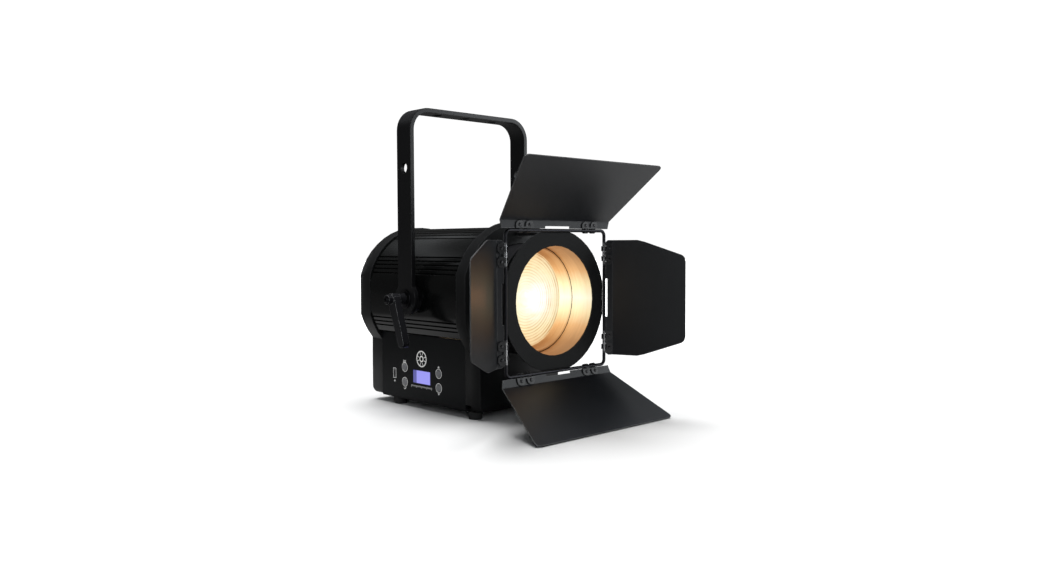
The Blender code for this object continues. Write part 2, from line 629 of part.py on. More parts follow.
def fan(lamp):
    frame = prism([rectangle((0, 0), (0.046, 0.046), 0.006), circle(0.0435, step=10)], FAN_Y, FAN_Y + FAN_DEPTH)
    body = node("fan_frame", frame, PLASTIC, lamp)
    rear = FAN_Y + FAN_DEPTH
    struts = rods(((0, rear - 0.004, 0), (0, rear - 0.0005, 0), FAN_HUB_R, 24))
    for a in (45, 135, 225, 315):
        out = Vector((cos(radians(a)), 0, sin(radians(a)))) * 0.0445
        rod(struts, Vector((0, rear - 0.002, 0)), out + Vector((0, rear - 0.002, 0)), 0.0014, 8)
    boolean(body, struts, "UNION", overlapping=True)
    axis = anchor("fan_axis", lamp, (0, FAN_Y, 0))
    rotor = node("fan_rotor", rods(((0, 0.002, 0), (0, 0.0195, 0), FAN_HUB_R, 24)), PLASTIC, axis)
    blades = []
    for i in range(FAN_BLADES):
        blade = blocks(((0.0145, -0.0085, -0.0008), (0.0415, 0.0085, 0.0008)))
        pitch = Matrix.Translation((0, 0.0105, 0)) @ Matrix.Rotation(radians(BLADE_PITCH), 4, "X")
        blade.transform(Matrix.Rotation(i * tau / FAN_BLADES, 4, "Y") @ pitch)
        blades.append(blade)
    boolean(rotor, gather(*blades), "UNION")


def fan_guard(lamp):
    """Three flat rings joined by a cross, in the rear opening."""
    y = REAR_END - 0.0045
    outer = prism([circle(0.0425, step=15), circle(0.0400, step=15)], y, y + 0.002)
    guard = node("fan_guard", outer, DARK_STEEL, lamp)
    rings = []
    for r in (0.0150, 0.0275):
        rings.append(prism([circle(r + 0.0011, step=22.5), circle(r - 0.0011, step=22.5)], y, y + 0.002))
    boolean(guard, gather(*rings), "UNION")
    first = blocks(((-0.0415, y + 0.0003, -0.0012), (0.0415, y + 0.0017, 0.0012)))
    boolean(guard, first, "UNION")
    boolean(guard, blocks(((-0.0012, y + 0.0003, -0.0415), (0.0012, y + 0.0017, 0.0415))), "UNION")


def rear_fittings(lamp):
    """Power inlet and outlet, two data sockets and the safety loop."""
    face, low, high = REAR_END + GAP, SOCKET_Z - 0.0143, SOCKET_Z + 0.0143
    names = ("power_inlet", "power_outlet", "data_in", "data_out")
    for name, x in zip(names, SOCKET_XS):
        finish = GREY_PLASTIC if name.startswith("power") else PLASTIC
        body = blocks(((x - 0.0118, REAR_END - 0.022, low), (x + 0.0118, face + 0.0005, high)))
        plate = blocks(((x - 0.0140, face, low - 0.0022), (x + 0.0140, face + 0.0020, high + 0.0022)))
        well = rods(((x, face - 0.012, SOCKET_Z), (x, face + 0.01, SOCKET_Z), SOCKET_WELL_R))
        socket = node(name, body, finish, lamp)
        boolean(socket, plate, "UNION")
        boolean(socket, well, "DIFFERENCE")
    curve = bpy.data.curves.new("loop", "CURVE")
    curve.dimensions = "3D"
    curve.bevel_depth = LOOP_WIRE_R
    curve.bevel_resolution = 1
    curve.use_fill_caps = True
    inside = REAR_END - 0.008
    path = [(-LOOP_X, inside), *arc((0, REAR_END + 0.006), LOOP_X, 180, 0, 22), (LOOP_X, inside)]
    spline = curve.splines.new("POLY")
    spline.points.add(len(path) - 1)
    for point, (x, y) in zip(spline.points, path):
        point.co = (x, y, LOOP_Z, 1)
    node("safety_loop", baked(bpy.data.objects.new("loop", curve)), STEEL, lamp)


def electronics(lamp):
    """Power supply, driver board, display with its board, and the service port."""
    floor = -AXIS_HEIGHT + 0.0015
    supply_box = ((-0.055, 0.165, floor + 0.004), (0.055, 0.250, floor + 0.036))
    supply = node("power_supply", blocks(supply_box), STEEL, lamp)
    boolean(supply, blocks(((-0.053, 0.167, floor + 0.006), (0.053, 0.248, floor + 0.040))), "DIFFERENCE")
    board_box = ((-0.050, 0.096, floor + 0.006), (0.050, 0.150, floor + 0.0076))
    board = node("driver_board", blocks(board_box), BOARD, lamp)
    parts = blocks(((-0.040, 0.102, floor + 0.007), (-0.022, 0.122, floor + 0.018)),
                   ((-0.010, 0.104, floor + 0.007), (0.008, 0.122, floor + 0.010)),
                   ((0.018, 0.128, floor + 0.007), (0.042, 0.142, floor + 0.015)))
    boolean(board, parts, "UNION")
    inside = -BASE_HALF + PANEL_THICK
    front, back = inside + GAP, inside + GAP + 0.0018
    screen = node("display_window", panel_block(DISPLAY_MID, DISPLAY_HALF, -0.002, front, back), SCREEN, lamp)
    window = panel_block(DISPLAY_MID, DISPLAY_HALF, GAP, -BASE_HALF + 0.0004, front + 0.001)
    boolean(screen, window, "UNION")
    board_front = back + 0.0050
    carrier = blocks(((board_front, 0.128, -0.122), (board_front + 0.0016, 0.222, -0.082)))
    node("display_board", carrier, BOARD, lamp)
    shell = panel_block(PORT_MID, PORT_HALF, GAP, -BASE_HALF + 0.0006, inside + 0.009)
    port = node("service_port", shell, STEEL, lamp)
    boolean(port, panel_block(PORT_MID, PORT_HALF, 0.0011, -BASE_HALF - 0.001, inside + 0.007), "DIFFERENCE")


def panel_block(middle, half, inset, low, high):
    """A block between two x positions, as large as an opening in the control panel less an inset."""
    (y, z), (across, up) = middle, half
    corner = (across - inset, up - inset)
    return blocks(((low, y - corner[0], z - corner[1]), (high, y + corner[0], z + corner[1])))


def buttons(lamp):
    """Push caps that run through the panel, each with a flange behind it and a stem."""
    for name, (y, z) in BUTTON_PLACES.items():
        rim = BUTTON_R + 0.0015
        cap = [(0, 0.0013), (BUTTON_R - 0.0006, 0.0013), (BUTTON_R, 0.0006), (BUTTON_R, -0.0037)]
        cap += [(rim, -0.0037), (rim, -0.0047), (0.0015, -0.0047), (0.0015, -0.0070), (0, -0.0070)]
        axis = Matrix.Rotation(-pi / 2, 4, "Y")
        bm = turned(cap, SMALL_ROUND, axis, closed=False)
        node(name, bm, GREY_PLASTIC, anchor(name + "_slide", lamp, (-BASE_HALF, y, z)))


# Barn doors


def ring_and_frame(lamp):
    axis = anchor("ring_axis", lamp)
    side = degrees(acos(RING_FLAT / RING_R))
    outline = []
    for quarter in range(4):
        outline += arc((0, 0), RING_R, 90 * quarter + side, 90 * quarter + 90 - side)
    plate = prism([outline, circle(TUBE_R_IN - 0.0004, step=10)], RING_Y, RING_Y + RING_THICK)
    flange = node("barndoor_ring", plate, LEAF_BLACK, axis)
    start = RING_Y + RING_THICK / 2
    collar = [(0.0750, 0.0220), (0.0750, 0.0200), (0.0705, 0.0200), (0.0705, start)]
    collar += [(0.0685, start), (0.0685, 0.0220)]
    boolean(flange, turned(collar), "UNION")
    curve = bpy.data.curves.new("wire", "CURVE")
    curve.dimensions = "3D"
    curve.bevel_depth = WIRE_R
    curve.bevel_resolution = 2
    spline = curve.splines.new("POLY")
    middle = WIRE_HALF - WIRE_BEND
    path = []
    for quarter, (sx, sz) in enumerate(((1, 1), (-1, 1), (-1, -1), (1, -1))):
        path += arc((sx * middle, sz * middle), WIRE_BEND, 90 * quarter, 90 * quarter + 90, 18)
    spline.points.add(len(path) - 1)
    for point, (x, z) in zip(spline.points, path):
        point.co = (x, 0, z, 1)
    spline.use_cyclic_u = True
    node("wire_frame", baked(bpy.data.objects.new("wire", curve)), DARK_STEEL, axis)
    return axis


def leaf_outline(wide):
    """The flat blank of a leaf, with the hinge edge at the bottom; wide ones flare, tall ones taper."""
    if wide:
        flare = atan2(WIDE_END - WIDE_BEND, LEAF_END - LEAF_BEND)
        corner = (WIDE_END - WIDE_CORNER * (1 + sin(flare)) / cos(flare), LEAF_END - WIDE_CORNER)
        right = [(WIDE_START, LEAF_START), (WIDE_BEND, LEAF_BEND)]
        right += arc(corner, WIDE_CORNER, -degrees(flare), 90, 25)
    else:
        slope = atan2(TALL_START - TALL_END, LEAF_END - TALL_TAPER)
        corner = (TALL_END - TALL_CORNER * (1 - sin(slope)) / cos(slope), LEAF_END - TALL_CORNER)
        right = [(TALL_START - 0.003, LEAF_START), (TALL_START, LEAF_START + 0.003), (TALL_START, TALL_TAPER)]
        right += arc(corner, TALL_CORNER, degrees(slope), 90, 15)
    notch = [(NOTCH_HALF, LEAF_START + NOTCH_DEPTH), (NOTCH_HALF, LEAF_START)]
    return mirrored(notch + right)


def leaf(side, turn, angle, axis):
    """A sheet leaf folded along its flange, on two clips that curl round the wire frame."""
    frame = Matrix.Rotation(radians(turn), 4, "Y")
    place = frame @ Vector((0, 0, WIRE_HALF))
    hinge = anchor(f"hinge_{side}", axis, place, frame @ Matrix.Rotation(radians(angle - LEAF_FOLD), 4, "X"))
    bm = prism([leaf_outline(side in ("top", "bottom"))], 0, 0)
    parts = [*bm.verts, *bm.edges, *bm.faces]
    bmesh.ops.bisect_plane(bm, geom=parts, plane_co=(0, 0, LEAF_BEND), plane_no=(0, 0, 1))
    beyond = [v for v in bm.verts if v.co.z > LEAF_BEND + 1e-5]
    bmesh.ops.rotate(bm, verts=beyond, cent=(0, 0, LEAF_BEND), matrix=Matrix.Rotation(radians(LEAF_FOLD), 3, "X"))
    bmesh.ops.dissolve_limit(bm, angle_limit=radians(1), verts=bm.verts, edges=bm.edges)
    bmesh.ops.recalc_face_normals(bm, faces=bm.faces)
    sheet = node(f"leaf_{side}", bm, LEAF_BLACK, hinge)
    wall = sheet.modifiers.new("sheet", "SOLIDIFY")
    wall.thickness = LEAF_THICK
    wall.offset = 0
    wall.use_even_offset = True
    bores = rods(*[((x, -0.006, RIVET_Z), (x, 0.006, RIVET_Z), RIVET_HOLE_R, 8) for x in (-CLIP_MID, CLIP_MID)])
    boolean(sheet, bores, "DIFFERENCE")
    for end, s in (("a", -1), ("b", 1)):
        hinge_clip(f"hinge_clip_{side}_{end}", s * CLIP_MID, hinge)


def hinge_clip(name, x, hinge):
    """A plate on the front of the flange whose two ends curl round the wire."""
    front = -LEAF_THICK / 2 - GAP
    plate = blocks(((x - CLIP_HALF, front - 0.0010, 0.0025), (x + CLIP_HALF, front, 0.0105)))
    clip = node(name, plate, DARK_STEEL, hinge)
    curls = []
    for s in (-1, 1):
        middle = x + s * (CLIP_HALF - CURL_LENGTH / 2)
        reach = CURL_LENGTH / 2 - 0.0001
        curls.append(ring(CURL_R_IN, CURL_R, -reach, reach, PIN_ROUND, AXIS_X, (middle, 0, 0)))
    boolean(clip, gather(*curls), "UNION")
    gap = CLIP_HALF - CURL_LENGTH
    boolean(clip, blocks(((x - gap, -0.006, 0), (x + gap, 0.006, 0.0040))), "DIFFERENCE")
    boolean(clip, rods(((x, -0.006, RIVET_Z), (x, 0.006, RIVET_Z), RIVET_HOLE_R, 8)), "DIFFERENCE")


def main():
    lamp = anchor("lamp", None, (0, -TILT_Y, AXIS_HEIGHT))
    front_casting(lamp)
    rear_casting(lamp)
    barrel(lamp)
    base(lamp)
    side_panels(lamp)
    feet(lamp)
    pivots(lamp)
    yoke(lamp)
    clamp_levers(lamp)
    lens_tube(lamp)
    zoom_optics(lamp)
    zoom_drive(lamp)
    light_engine(lamp)
    fan(lamp)
    fan_guard(lamp)
    rear_fittings(lamp)
    electronics(lamp)
    buttons(lamp)
    axis = ring_and_frame(lamp)
    for side, (turn, angle) in LEAVES.items():
        leaf(side, turn, angle, axis)


main()
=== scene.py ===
"""Looks for the fresnel spotlight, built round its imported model.

Metres, +Z up, light thrown toward -Y. Lamp coordinates have their origin where the optical axis meets
the plane of the barn-door wire frame; lamp() moves them into the model's own.
"""

import json
from math import cos, pi, radians, sin, tau

import bmesh
import bpy
import numpy as np
from mathutils import Matrix, Vector


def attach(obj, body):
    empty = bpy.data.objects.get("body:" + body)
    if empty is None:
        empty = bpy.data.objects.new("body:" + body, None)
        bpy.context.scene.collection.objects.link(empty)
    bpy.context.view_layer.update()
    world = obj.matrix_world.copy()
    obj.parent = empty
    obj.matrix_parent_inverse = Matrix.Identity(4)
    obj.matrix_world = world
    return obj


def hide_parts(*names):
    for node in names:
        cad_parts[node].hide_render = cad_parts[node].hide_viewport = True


LAMP = np.array((0.0, -0.167, 0.134))  # origin of lamp coordinates
FLOOR_Z = -0.0092
BEAM_WATTS, SPILL_WATTS = 0.025, 0.034
ROOM_LIGHT = 0.045  # the world's strength for everything but the camera

LENS_R, LENS_FRONT, SLEEVE_FRONT = 0.0608, 0.0541, 0.037
RINGS = 17  # steps of the lens

PIVOT_Y = 0.167  # the tilt axis
TICK_X = 0.0983  # outer face of the yoke's eye
SOCKET_XS, SOCKET_Z = (-0.048, -0.017, 0.017, 0.048), -0.105
GUARD_Y, GUARD_RINGS = 0.2865, (0.0415, 0.0345, 0.0275, 0.0205, 0.0135)

WIRE_HALF, WIRE_R, WIRE_BEND = 0.0825, 0.0020, 0.006  # the barn doors' square of round wire
CLIP_MID = 0.0545  # from a leaf's middle to each clip's
LOBE_MID, LOBE_HALF = 0.0076, 0.0058  # a clip's two lobes
CURL_R, CURL_IN = 0.0034, 0.00235  # outer and inner radius of a clip's curl
CURL_MID, KNUCKLE = 0.0062, 0.0060  # from the clip's middle to each curl's, and a curl's width
RIVET_Z = 0.0062
LEAF_THICK = 0.0012
LEAF_START, LEAF_BEND, LEAF_END = 0.0022, 0.0115, 0.1040  # distances from the wire
LEAF_FOLD, LEAF_RADIUS = 44, 0.0018  # the bend's angle and radius
LEAF_CUT, NOTCH_END = 0.0042, 0.0048  # the hinge edge at the clips and at the middle notch
LEAVES = {"top": (0, 45.0), "right": (90, 68.5), "bottom": (180, 58.5), "left": (270, 31.5)}

PANEL_X = -0.068  # the control panel's outer face
PANEL_MARK = 0.00006  # height of a printed mark
BUTTONS = {"button_mode": (0.211, -0.0923), "button_enter": (0.211, -0.1115),
           "button_up": (0.140, -0.0938), "button_down": (0.140, -0.1118)}
RAY_RING = np.array((0.1750, -0.0785))
SCREEN_REAR_PART, SCREEN_EDGE = (0.1858, 0.1866), (0.1575, 0.1587)
DOTS = 6500.0  # radians a metre across the display


# Node wiring


class Wire:
    """A node's output. Arithmetic on it adds Math nodes to the same material."""

    def __init__(self, finish, socket):
        self.finish, self.socket = finish, socket

    def math(self, operation, *values):
        return self.finish.node("Math", {"operation": operation}, dict(enumerate(values)))

    def __add__(self, other):
        return self.math("ADD", self, other)

    def __sub__(self, other):
        return self.math("SUBTRACT", self, other)

    def __rsub__(self, other):
        return self.math("SUBTRACT", other, self)

    def __mul__(self, other):
        return self.math("MULTIPLY", self, other)

    def __truediv__(self, other):
        return self.math("DIVIDE", self, other)

    def __pow__(self, other):
        return self.math("POWER", self, other)

    def __gt__(self, other):
        return self.math("GREATER_THAN", self, other)

    def __lt__(self, other):
        return self.math("LESS_THAN", self, other)

    __radd__, __rmul__ = __add__, __mul__

    def sine(self):
        return self.math("SINE", self)

    def fraction(self):
        return self.math("FRACT", self)

    def clamped(self):
        return self.finish.node("Clamp", {}, {0: self})

    def between(self, low, high):
        """0 at low, 1 at high, smooth in between."""
        settings = {"interpolation_type": "SMOOTHSTEP"}
        return self.finish.node("MapRange", settings, {0: self, 1: low, 2: high})


class Finish:
    """A material: its Principled shader, and one method that adds any other node."""

    def __init__(self, name, colour, roughness, **sockets):
        self.material = bpy.data.materials.new(name)
        self.material.use_nodes = True
        self.tree = self.material.node_tree
        self.shader = self.tree.nodes["Principled BSDF"]
        self.feed("Base Color", (*colour, 1.0))
        self.feed("Roughness", roughness)
        for socket, value in sockets.items():
            self.feed(socket.replace("_", " ").title().replace("Ior", "IOR"), value)

    def feed(self, socket, value):
        self.join(self.shader.inputs[socket], value)
        return self

    def join(self, entry, value):
        if isinstance(value, Wire):
            self.tree.links.new(value.socket, entry)
        else:
            entry.default_value = value

    def node(self, kind, settings, sockets, out=0):
        """Adds a node of this kind, sets its settings and then its sockets, and returns one output."""
        made = self.tree.nodes.new("ShaderNode" + kind)
        for name, value in settings.items():
            if name == "stops":
                made.color_ramp.elements.remove(made.color_ramp.elements[1])
                for i, (at, shade) in enumerate(value):
                    stop = made.color_ramp.elements[0] if i == 0 else made.color_ramp.elements.new(at)
                    stop.position, stop.color = at, (*shade, 1.0)
            else:
                setattr(made, name, value)
        for key, value in sockets.items():
            self.join(made.inputs[key], value)
        return Wire(self, made.outputs[out])

    def place(self, centre=(0, 0, 0), turn=(0, 0, 0), scale=(1, 1, 1)):
        """The point being shaded, in metres, centred, turned and stretched."""
        at = self.node("TexCoord", {}, {}, "Object")
        if centre != (0, 0, 0):
            at = self.node("VectorMath", {"operation": "SUBTRACT"}, {0: at, 1: centre})
        if turn == (0, 0, 0) and scale == (1, 1, 1):
            return at
        return self.node("Mapping", {}, {0: at, "Rotation": turn, "Scale": scale})

    def split(self, vector):
        """The vector's x, y and z."""
        parts = self.node("SeparateXYZ", {}, {0: vector}).socket.node
        return [Wire(self, output) for output in parts.outputs]

    def noise(self, scale, detail=2.0, rough=0.5, at=None):
        sockets = {"Vector": at or self.place(), "Scale": scale, "Detail": detail, "Roughness": rough}
        return self.node("TexNoise", {}, sockets)

    def ramp(self, value, stops):
        return self.node("ValToRGB", {"stops": stops}, {0: value})

    def mix(self, factor, first, second):
        def colour(x):
            return x if isinstance(x, Wire) else (*x, 1.0)
        return self.node("Mix", {"data_type": "RGBA"}, {0: factor, 6: colour(first), 7: colour(second)}, 2)

    def dimmer(self, colour, amount):
        """The colour scaled by one number."""
        return self.node("VectorMath", {"operation": "SCALE"}, {0: colour, "Scale": amount})

    def bump(self, height, distance, strength=1.0, base=None):
        sockets = {"Height": height, "Distance": distance, "Strength": strength}
        if base is not None:
            sockets["Normal"] = base
        self.feed("Normal", self.node("Bump", {}, sockets))
        return self

    def eased(self, radius):
        """The normal as if every edge were rounded to this radius."""
        return self.node("Bevel", {"samples": 4}, {"Radius": radius})

    def edge(self, radius, reach):
        """1 on an edge, falling to 0 within the radius."""
        flat = self.node("NewGeometry", {}, {}, "Normal")
        dot = self.node("VectorMath", {"operation": "DOT_PRODUCT"}, {0: self.eased(radius), 1: flat}, "Value")
        return ((1 - dot) * reach).clamped()


# Finishes


def powder_coat(name, colour, roughness, grain, depth, edge_wear_and_highlight, shine):
    """Textured powder coat: pebbled relief, uneven sheen, faint handling dust, and paint thinned on edges,
    lightened there as wear and as painted edge highlight.
    """
    coat = Finish(name, colour, roughness, specular_ior_level=shine)
    pebble = coat.noise(grain, 3.0, 0.6)
    cloud = coat.noise(22.0, 3.0, 0.55)
    scuff = coat.noise(260.0, 4.0, 0.7)
    light = tuple(c * 1.7 + 0.004 for c in colour)
    body = coat.mix((cloud - 0.35) * 0.9, colour, light)
    # Edge wear and painted edge highlight: the edges are lightened to stand in for the light that rounded
    # edges catch
    wear_and_painted_highlight = (coat.edge(0.0011, 3.0) * (scuff > 0.42) * edge_wear_and_highlight).clamped()
    coat.feed("Base Color", coat.mix(wear_and_painted_highlight, body, (0.10, 0.10, 0.105)))
    coat.feed("Roughness", (roughness - 0.09 + cloud * 0.12 + pebble * 0.08).clamped())
    coat.bump(pebble, depth, 0.8, coat.eased(0.0006))
    return coat.material


def satin_paint(name, colour, roughness, ease, edge_wear_and_highlight=0.4, under=0.14):
    """Sprayed satin paint: long orange-peel waves, soft cloudiness, and edges turned grey, as wear and as
    painted edge highlight.
    """
    paint = Finish(name, colour, roughness, specular_ior_level=0.5)
    peel = paint.noise(420.0, 1.5, 0.45)
    cloud = paint.noise(30.0, 3.0, 0.5)
    scuff = paint.noise(340.0, 4.0, 0.7)
    # Edge wear and painted edge highlight: the edges take the grey given as under, partly bared undercoat and
    # partly light that rounded edges catch
    wear_and_painted_highlight = (paint.edge(0.0010, 3.0) * (scuff > 0.45) * edge_wear_and_highlight).clamped()
    body = paint.mix(cloud, colour, tuple(c * 1.5 for c in colour))
    paint.feed("Base Color", paint.mix(wear_and_painted_highlight, body, (under, under, under)))
    paint.feed("Roughness", (roughness - 0.06 + cloud * 0.14).clamped())
    paint.bump(peel, 0.00001, 0.4, paint.eased(ease))
    return paint.material


def anodised_barrel():
    """Black anodised extrusion: die lines that run along the barrel, and a slight mottle."""
    skin = Finish("black_anodised_extrusion", (0.014, 0.014, 0.015), 0.36)
    die = skin.noise(900.0, 3.0, 0.6, skin.place(scale=(1, 0.012, 1)))
    mottle = skin.noise(40.0, 3.0, 0.5)
    skin.feed("Base Color", skin.mix(mottle, (0.0018, 0.0020, 0.0020), (0.0040, 0.0043, 0.0042)))
    skin.feed("Roughness", 0.12 + die * 0.06 + mottle * 0.05)
    skin.bump(die, 0.00004, 0.5, skin.eased(0.0005))
    return skin.material


def leaf_paint(side):
    """Heat-proof matte black sheet, a little cloudy, with the sheared edge made pale, as wear and as painted
    edge highlight.
    """
    paint = Finish(f"heat_proof_black_{side}", (0.026, 0.026, 0.028), 0.55)
    grit = paint.noise(1900.0, 3.0, 0.6)
    cloud = paint.noise(16.0, 4.0, 0.55)
    streak = paint.noise(60.0, 4.0, 0.6, paint.place(scale=(1, 0.15, 0.15)))
    # Edge wear and painted edge highlight: the sheared edge is lightened to stand in for the light it catches
    wear_and_painted_highlight = (paint.edge(0.0012, 2.6) * (streak > 0.36) * 0.8).clamped()
    body = paint.mix(cloud, (0.0054, 0.0062, 0.0078), (0.0100, 0.0114, 0.0142))
    paint.feed("Base Color", paint.mix(wear_and_painted_highlight, body, (0.34, 0.34, 0.34)))
    paint.feed("Roughness", 0.33 + cloud * 0.10 + grit * 0.05)
    paint.bump(grit, 0.00005, 0.6, paint.eased(0.0004))
    return paint.material


def bare_metal(name, colour, roughness, stretch=(1, 1, 1)):
    """Machined or rolled metal: tool lines in one direction and small tarnish clouds."""
    metal = Finish(name, colour, roughness, metallic=1.0)
    line = metal.noise(700.0, 3.0, 0.6, metal.place(scale=stretch))
    tarnish = metal.noise(70.0, 4.0, 0.6)
    dull = tuple(c * 0.62 for c in colour)
    metal.feed("Base Color", metal.mix(tarnish.between(0.35, 0.75), colour, dull))
    metal.feed("Roughness", (roughness - 0.08 + line * 0.12 + tarnish * 0.12).clamped())
    metal.bump(line, 0.00002, 0.6, metal.eased(0.0004))
    return metal.material


def wire_wear_and_glints():
    """Blackened wire, bare metal where the clips turn on it, on the upright sides only: wear and painted
    glints.
    """
    wire = Finish("blackened_wire", (0.05, 0.05, 0.055), 0.30, metallic=1.0)
    x, _, z = wire.split(wire.place(tuple(LAMP)))
    # Painted glints: the bare metal is kept to the upright sides, where the highlights fall, though the clips
    # on all four sides turn alike
    upright = (x * x) > (z * z)
    away = (z * z) ** 0.5 - CLIP_MID
    reach = (away * away) ** 0.5
    patch = wire.noise(420.0, 4.0, 0.65)
    wear_and_glint = (upright * (1 - (reach + (patch - 0.5) * 0.010).between(0.009, 0.015))).clamped()
    wire.feed("Base Color", wire.mix(wear_and_glint, (0.045, 0.045, 0.050), (0.52, 0.52, 0.53)))
    wire.feed("Roughness", 0.34 - wear_and_glint * 0.12 + patch * 0.06)
    wire.bump(patch, 0.00002, 0.4)
    return wire.material


def moulded(name, colour, roughness, grain=1400.0, depth=0.00004):
    """Moulded plastic or rubber: spark-eroded grain and a faint uneven gloss."""
    plastic = Finish(name, colour, roughness)
    skin = plastic.noise(grain, 2.0, 0.5)
    cloud = plastic.noise(45.0, 2.0, 0.5)
    light = tuple(min(1.0, c * 1.35 + 0.003) for c in colour)
    plastic.feed("Base Color", plastic.mix(cloud, colour, light))
    plastic.feed("Roughness", (roughness - 0.05 + cloud * 0.1).clamped())
    plastic.bump(skin, depth, 0.6, plastic.eased(0.0004))
    return plastic.material


def painted_bore_glow(name, bore, front, back, end, strength):
    """Black outside; inside a bore, satin paint with the beam's light on it painted as a glow.

    The painted glow is pale level with the lens and tan above and below, and a little dimmer toward the back.
    """
    paint = Finish(name, (0.02, 0.014, 0.009), 0.33)
    x, y, z = paint.split(paint.place(tuple(LAMP)))
    inside = ((x * x + z * z) ** 0.5 < bore) * (y < end)
    grain = paint.noise(900.0, 3.0, 0.6)
    turned = paint.noise(1500.0, 2.0, 0.5, paint.place(scale=(0.02, 1, 0.02)))
    streak = paint.noise(260.0, 4.0, 0.65, paint.place(scale=(0.10, 1, 0.10)))
    height = (z * z) ** 0.5 / 0.065
    # Painted light: the beam's glow on the bore's wall, given as emission, pale at mid height and tan above
    # and below
    glow = paint.ramp((height + (streak - 0.5) * 0.22).clamped(), [
        (0.00, (1.0, 0.92, 0.68)), (0.26, (0.90, 0.74, 0.42)), (0.52, (0.66, 0.36, 0.145)),
        (0.80, (0.33, 0.145, 0.048)), (1.0, (0.21, 0.08, 0.027))])
    depth = y.between(front, back)
    paint.feed("Base Color", paint.mix(inside, (0.010, 0.010, 0.011), (0.12, 0.070, 0.034)))
    # Painted light: the glow is dimmed toward the back of the bore
    lit = paint.mix(depth, paint.dimmer(glow, 0.80), glow)
    paint.feed("Emission Color", paint.mix(inside, (0, 0, 0), lit))
    paint.feed("Emission Strength", strength)
    paint.feed("Roughness", 0.44 - inside * 0.12 + grain * 0.06)
    paint.bump(grain + turned, 0.00003, 0.5, paint.eased(0.0004))
    return paint.material


def lit_lens():
    """Warm light through pressed glass: a white hot spot, cream round it, rings that tint toward the rim."""
    glass = Finish("lit_pressed_glass", (0.05, 0.04, 0.03), 0.12, coat_weight=0.3, coat_roughness=0.08)
    x, _, z = glass.split(glass.place(tuple(LAMP)))
    off = x - 0.016
    radius = (x * x + z * z) ** 0.5 / LENS_R
    hot = (off * off * 0.7 + z * z) ** 0.5 / LENS_R
    tooth = (radius * RINGS).fraction()
    wobble = glass.noise(70.0, 3.0, 0.6)
    ray = glass.noise(210.0, 2.0, 0.5, glass.place(turn=(0, 0.6, 0), scale=(0.15, 1, 1)))
    groove = tooth.between(0.0, 0.30) * (1 - tooth.between(0.72, 1.0))
    tint = glass.ramp((hot + (wobble - 0.5) * 0.20 + (ray - 0.5) * 0.22).clamped(), [
        (0.00, (1.2, 1.2, 1.2)), (0.20, (1.08, 1.06, 1.0)), (0.40, (1.0, 0.92, 0.68)),
        (0.62, (0.95, 0.82, 0.50)), (0.85, (0.90, 0.66, 0.36)), (1.0, (0.72, 0.42, 0.20))])
    patchy = glass.noise(34.0, 2.0, 0.5).between(0.36, 0.62) * 0.6 + 0.25
    clear = 1 - (1 - groove) * radius.between(0.10, 0.90) * patchy
    shade = glass.mix(clear, (0.62, 0.36, 0.16), (1.0, 1.0, 1.0))
    glow = glass.node("Mix", {"data_type": "RGBA", "blend_type": "MULTIPLY"}, {0: 1.0, 6: tint, 7: shade}, 2)
    glass.feed("Emission Color", glow).feed("Emission Strength", 0.97)
    glass.bump(groove, 0.0002, 0.5)
    return glass.material


def lit_screen():
    """Back-lit display: blue-violet, darker in the fifth at its rear end, with faint dot rows."""
    screen = Finish("backlit_display", (0.02, 0.02, 0.03), 0.12, coat_weight=0.5, coat_roughness=0.05)
    _, y, z = screen.split(screen.place(tuple(LAMP)))
    dots = (z * DOTS).sine() * (y * DOTS).sine()
    lit = screen.mix(dots * 0.05 + 0.05, (0.35, 0.34, 0.98), (0.22, 0.21, 0.80))
    glow = screen.mix(y.between(*SCREEN_REAR_PART), lit, (0.10, 0.10, 0.38))
    screen.feed("Emission Color", screen.mix(y.between(*SCREEN_EDGE), (0.05, 0.05, 0.22), glow))
    screen.feed("Emission Strength", 0.92)
    return screen.material


def circuit_board():
    """Green solder mask with paler copper runs under it."""
    board = Finish("solder_mask", (0.012, 0.09, 0.035), 0.35)
    cells = board.node("TexVoronoi", {"distance": "MANHATTAN"}, {"Vector": board.place(), "Scale": 260.0})
    runs = cells.between(0.18, 0.24)
    board.feed("Base Color", board.mix(runs, (0.05, 0.20, 0.07), (0.010, 0.08, 0.030)))
    board.bump(runs, 0.00004, 0.5)
    return board.material


def phosphor():
    """Yellow phosphor tiles of the light-emitting board, on white solder mask."""
    board = Finish("emitter_board", (0.8, 0.8, 0.76), 0.4)
    x, _, z = board.split(board.place(tuple(LAMP)))
    chip = (x * x + z * z) ** 0.5 < 0.0112
    grain = board.noise(800.0, 2.0, 0.5)
    board.feed("Base Color", board.mix(chip, (0.78, 0.78, 0.74), (0.85, 0.62, 0.06)))
    board.feed("Roughness", 0.35 + grain * 0.2)
    board.bump(grain, 0.00003, 0.4)
    return board.material


def print_ink_painted_glow():
    """Pale screen-printed ink, with a faint painted glow."""
    ink = Finish("printed_white_painted_glow", (0.62, 0.62, 0.60), 0.55)
    fleck = ink.noise(1500.0, 3.0, 0.6)
    ink.feed("Base Color", ink.mix(fleck, (0.66, 0.66, 0.65), (0.86, 0.86, 0.84)))
    # Painted light: a faint glow that makes the ink lighter than the lamps alone would
    ink.feed("Emission Color", (0.5, 0.5, 0.5, 1.0)).feed("Emission Strength", 0.35)
    return ink.material


# Surfaces


def lamp(points):
    """Lamp coordinates as model coordinates."""
    return np.asarray(points, float) + LAMP


def linked(name, data):
    """A new object in the scene for a mesh, a light or a camera."""
    obj = bpy.data.objects.new(name, data)
    bpy.context.scene.collection.objects.link(obj)
    return obj


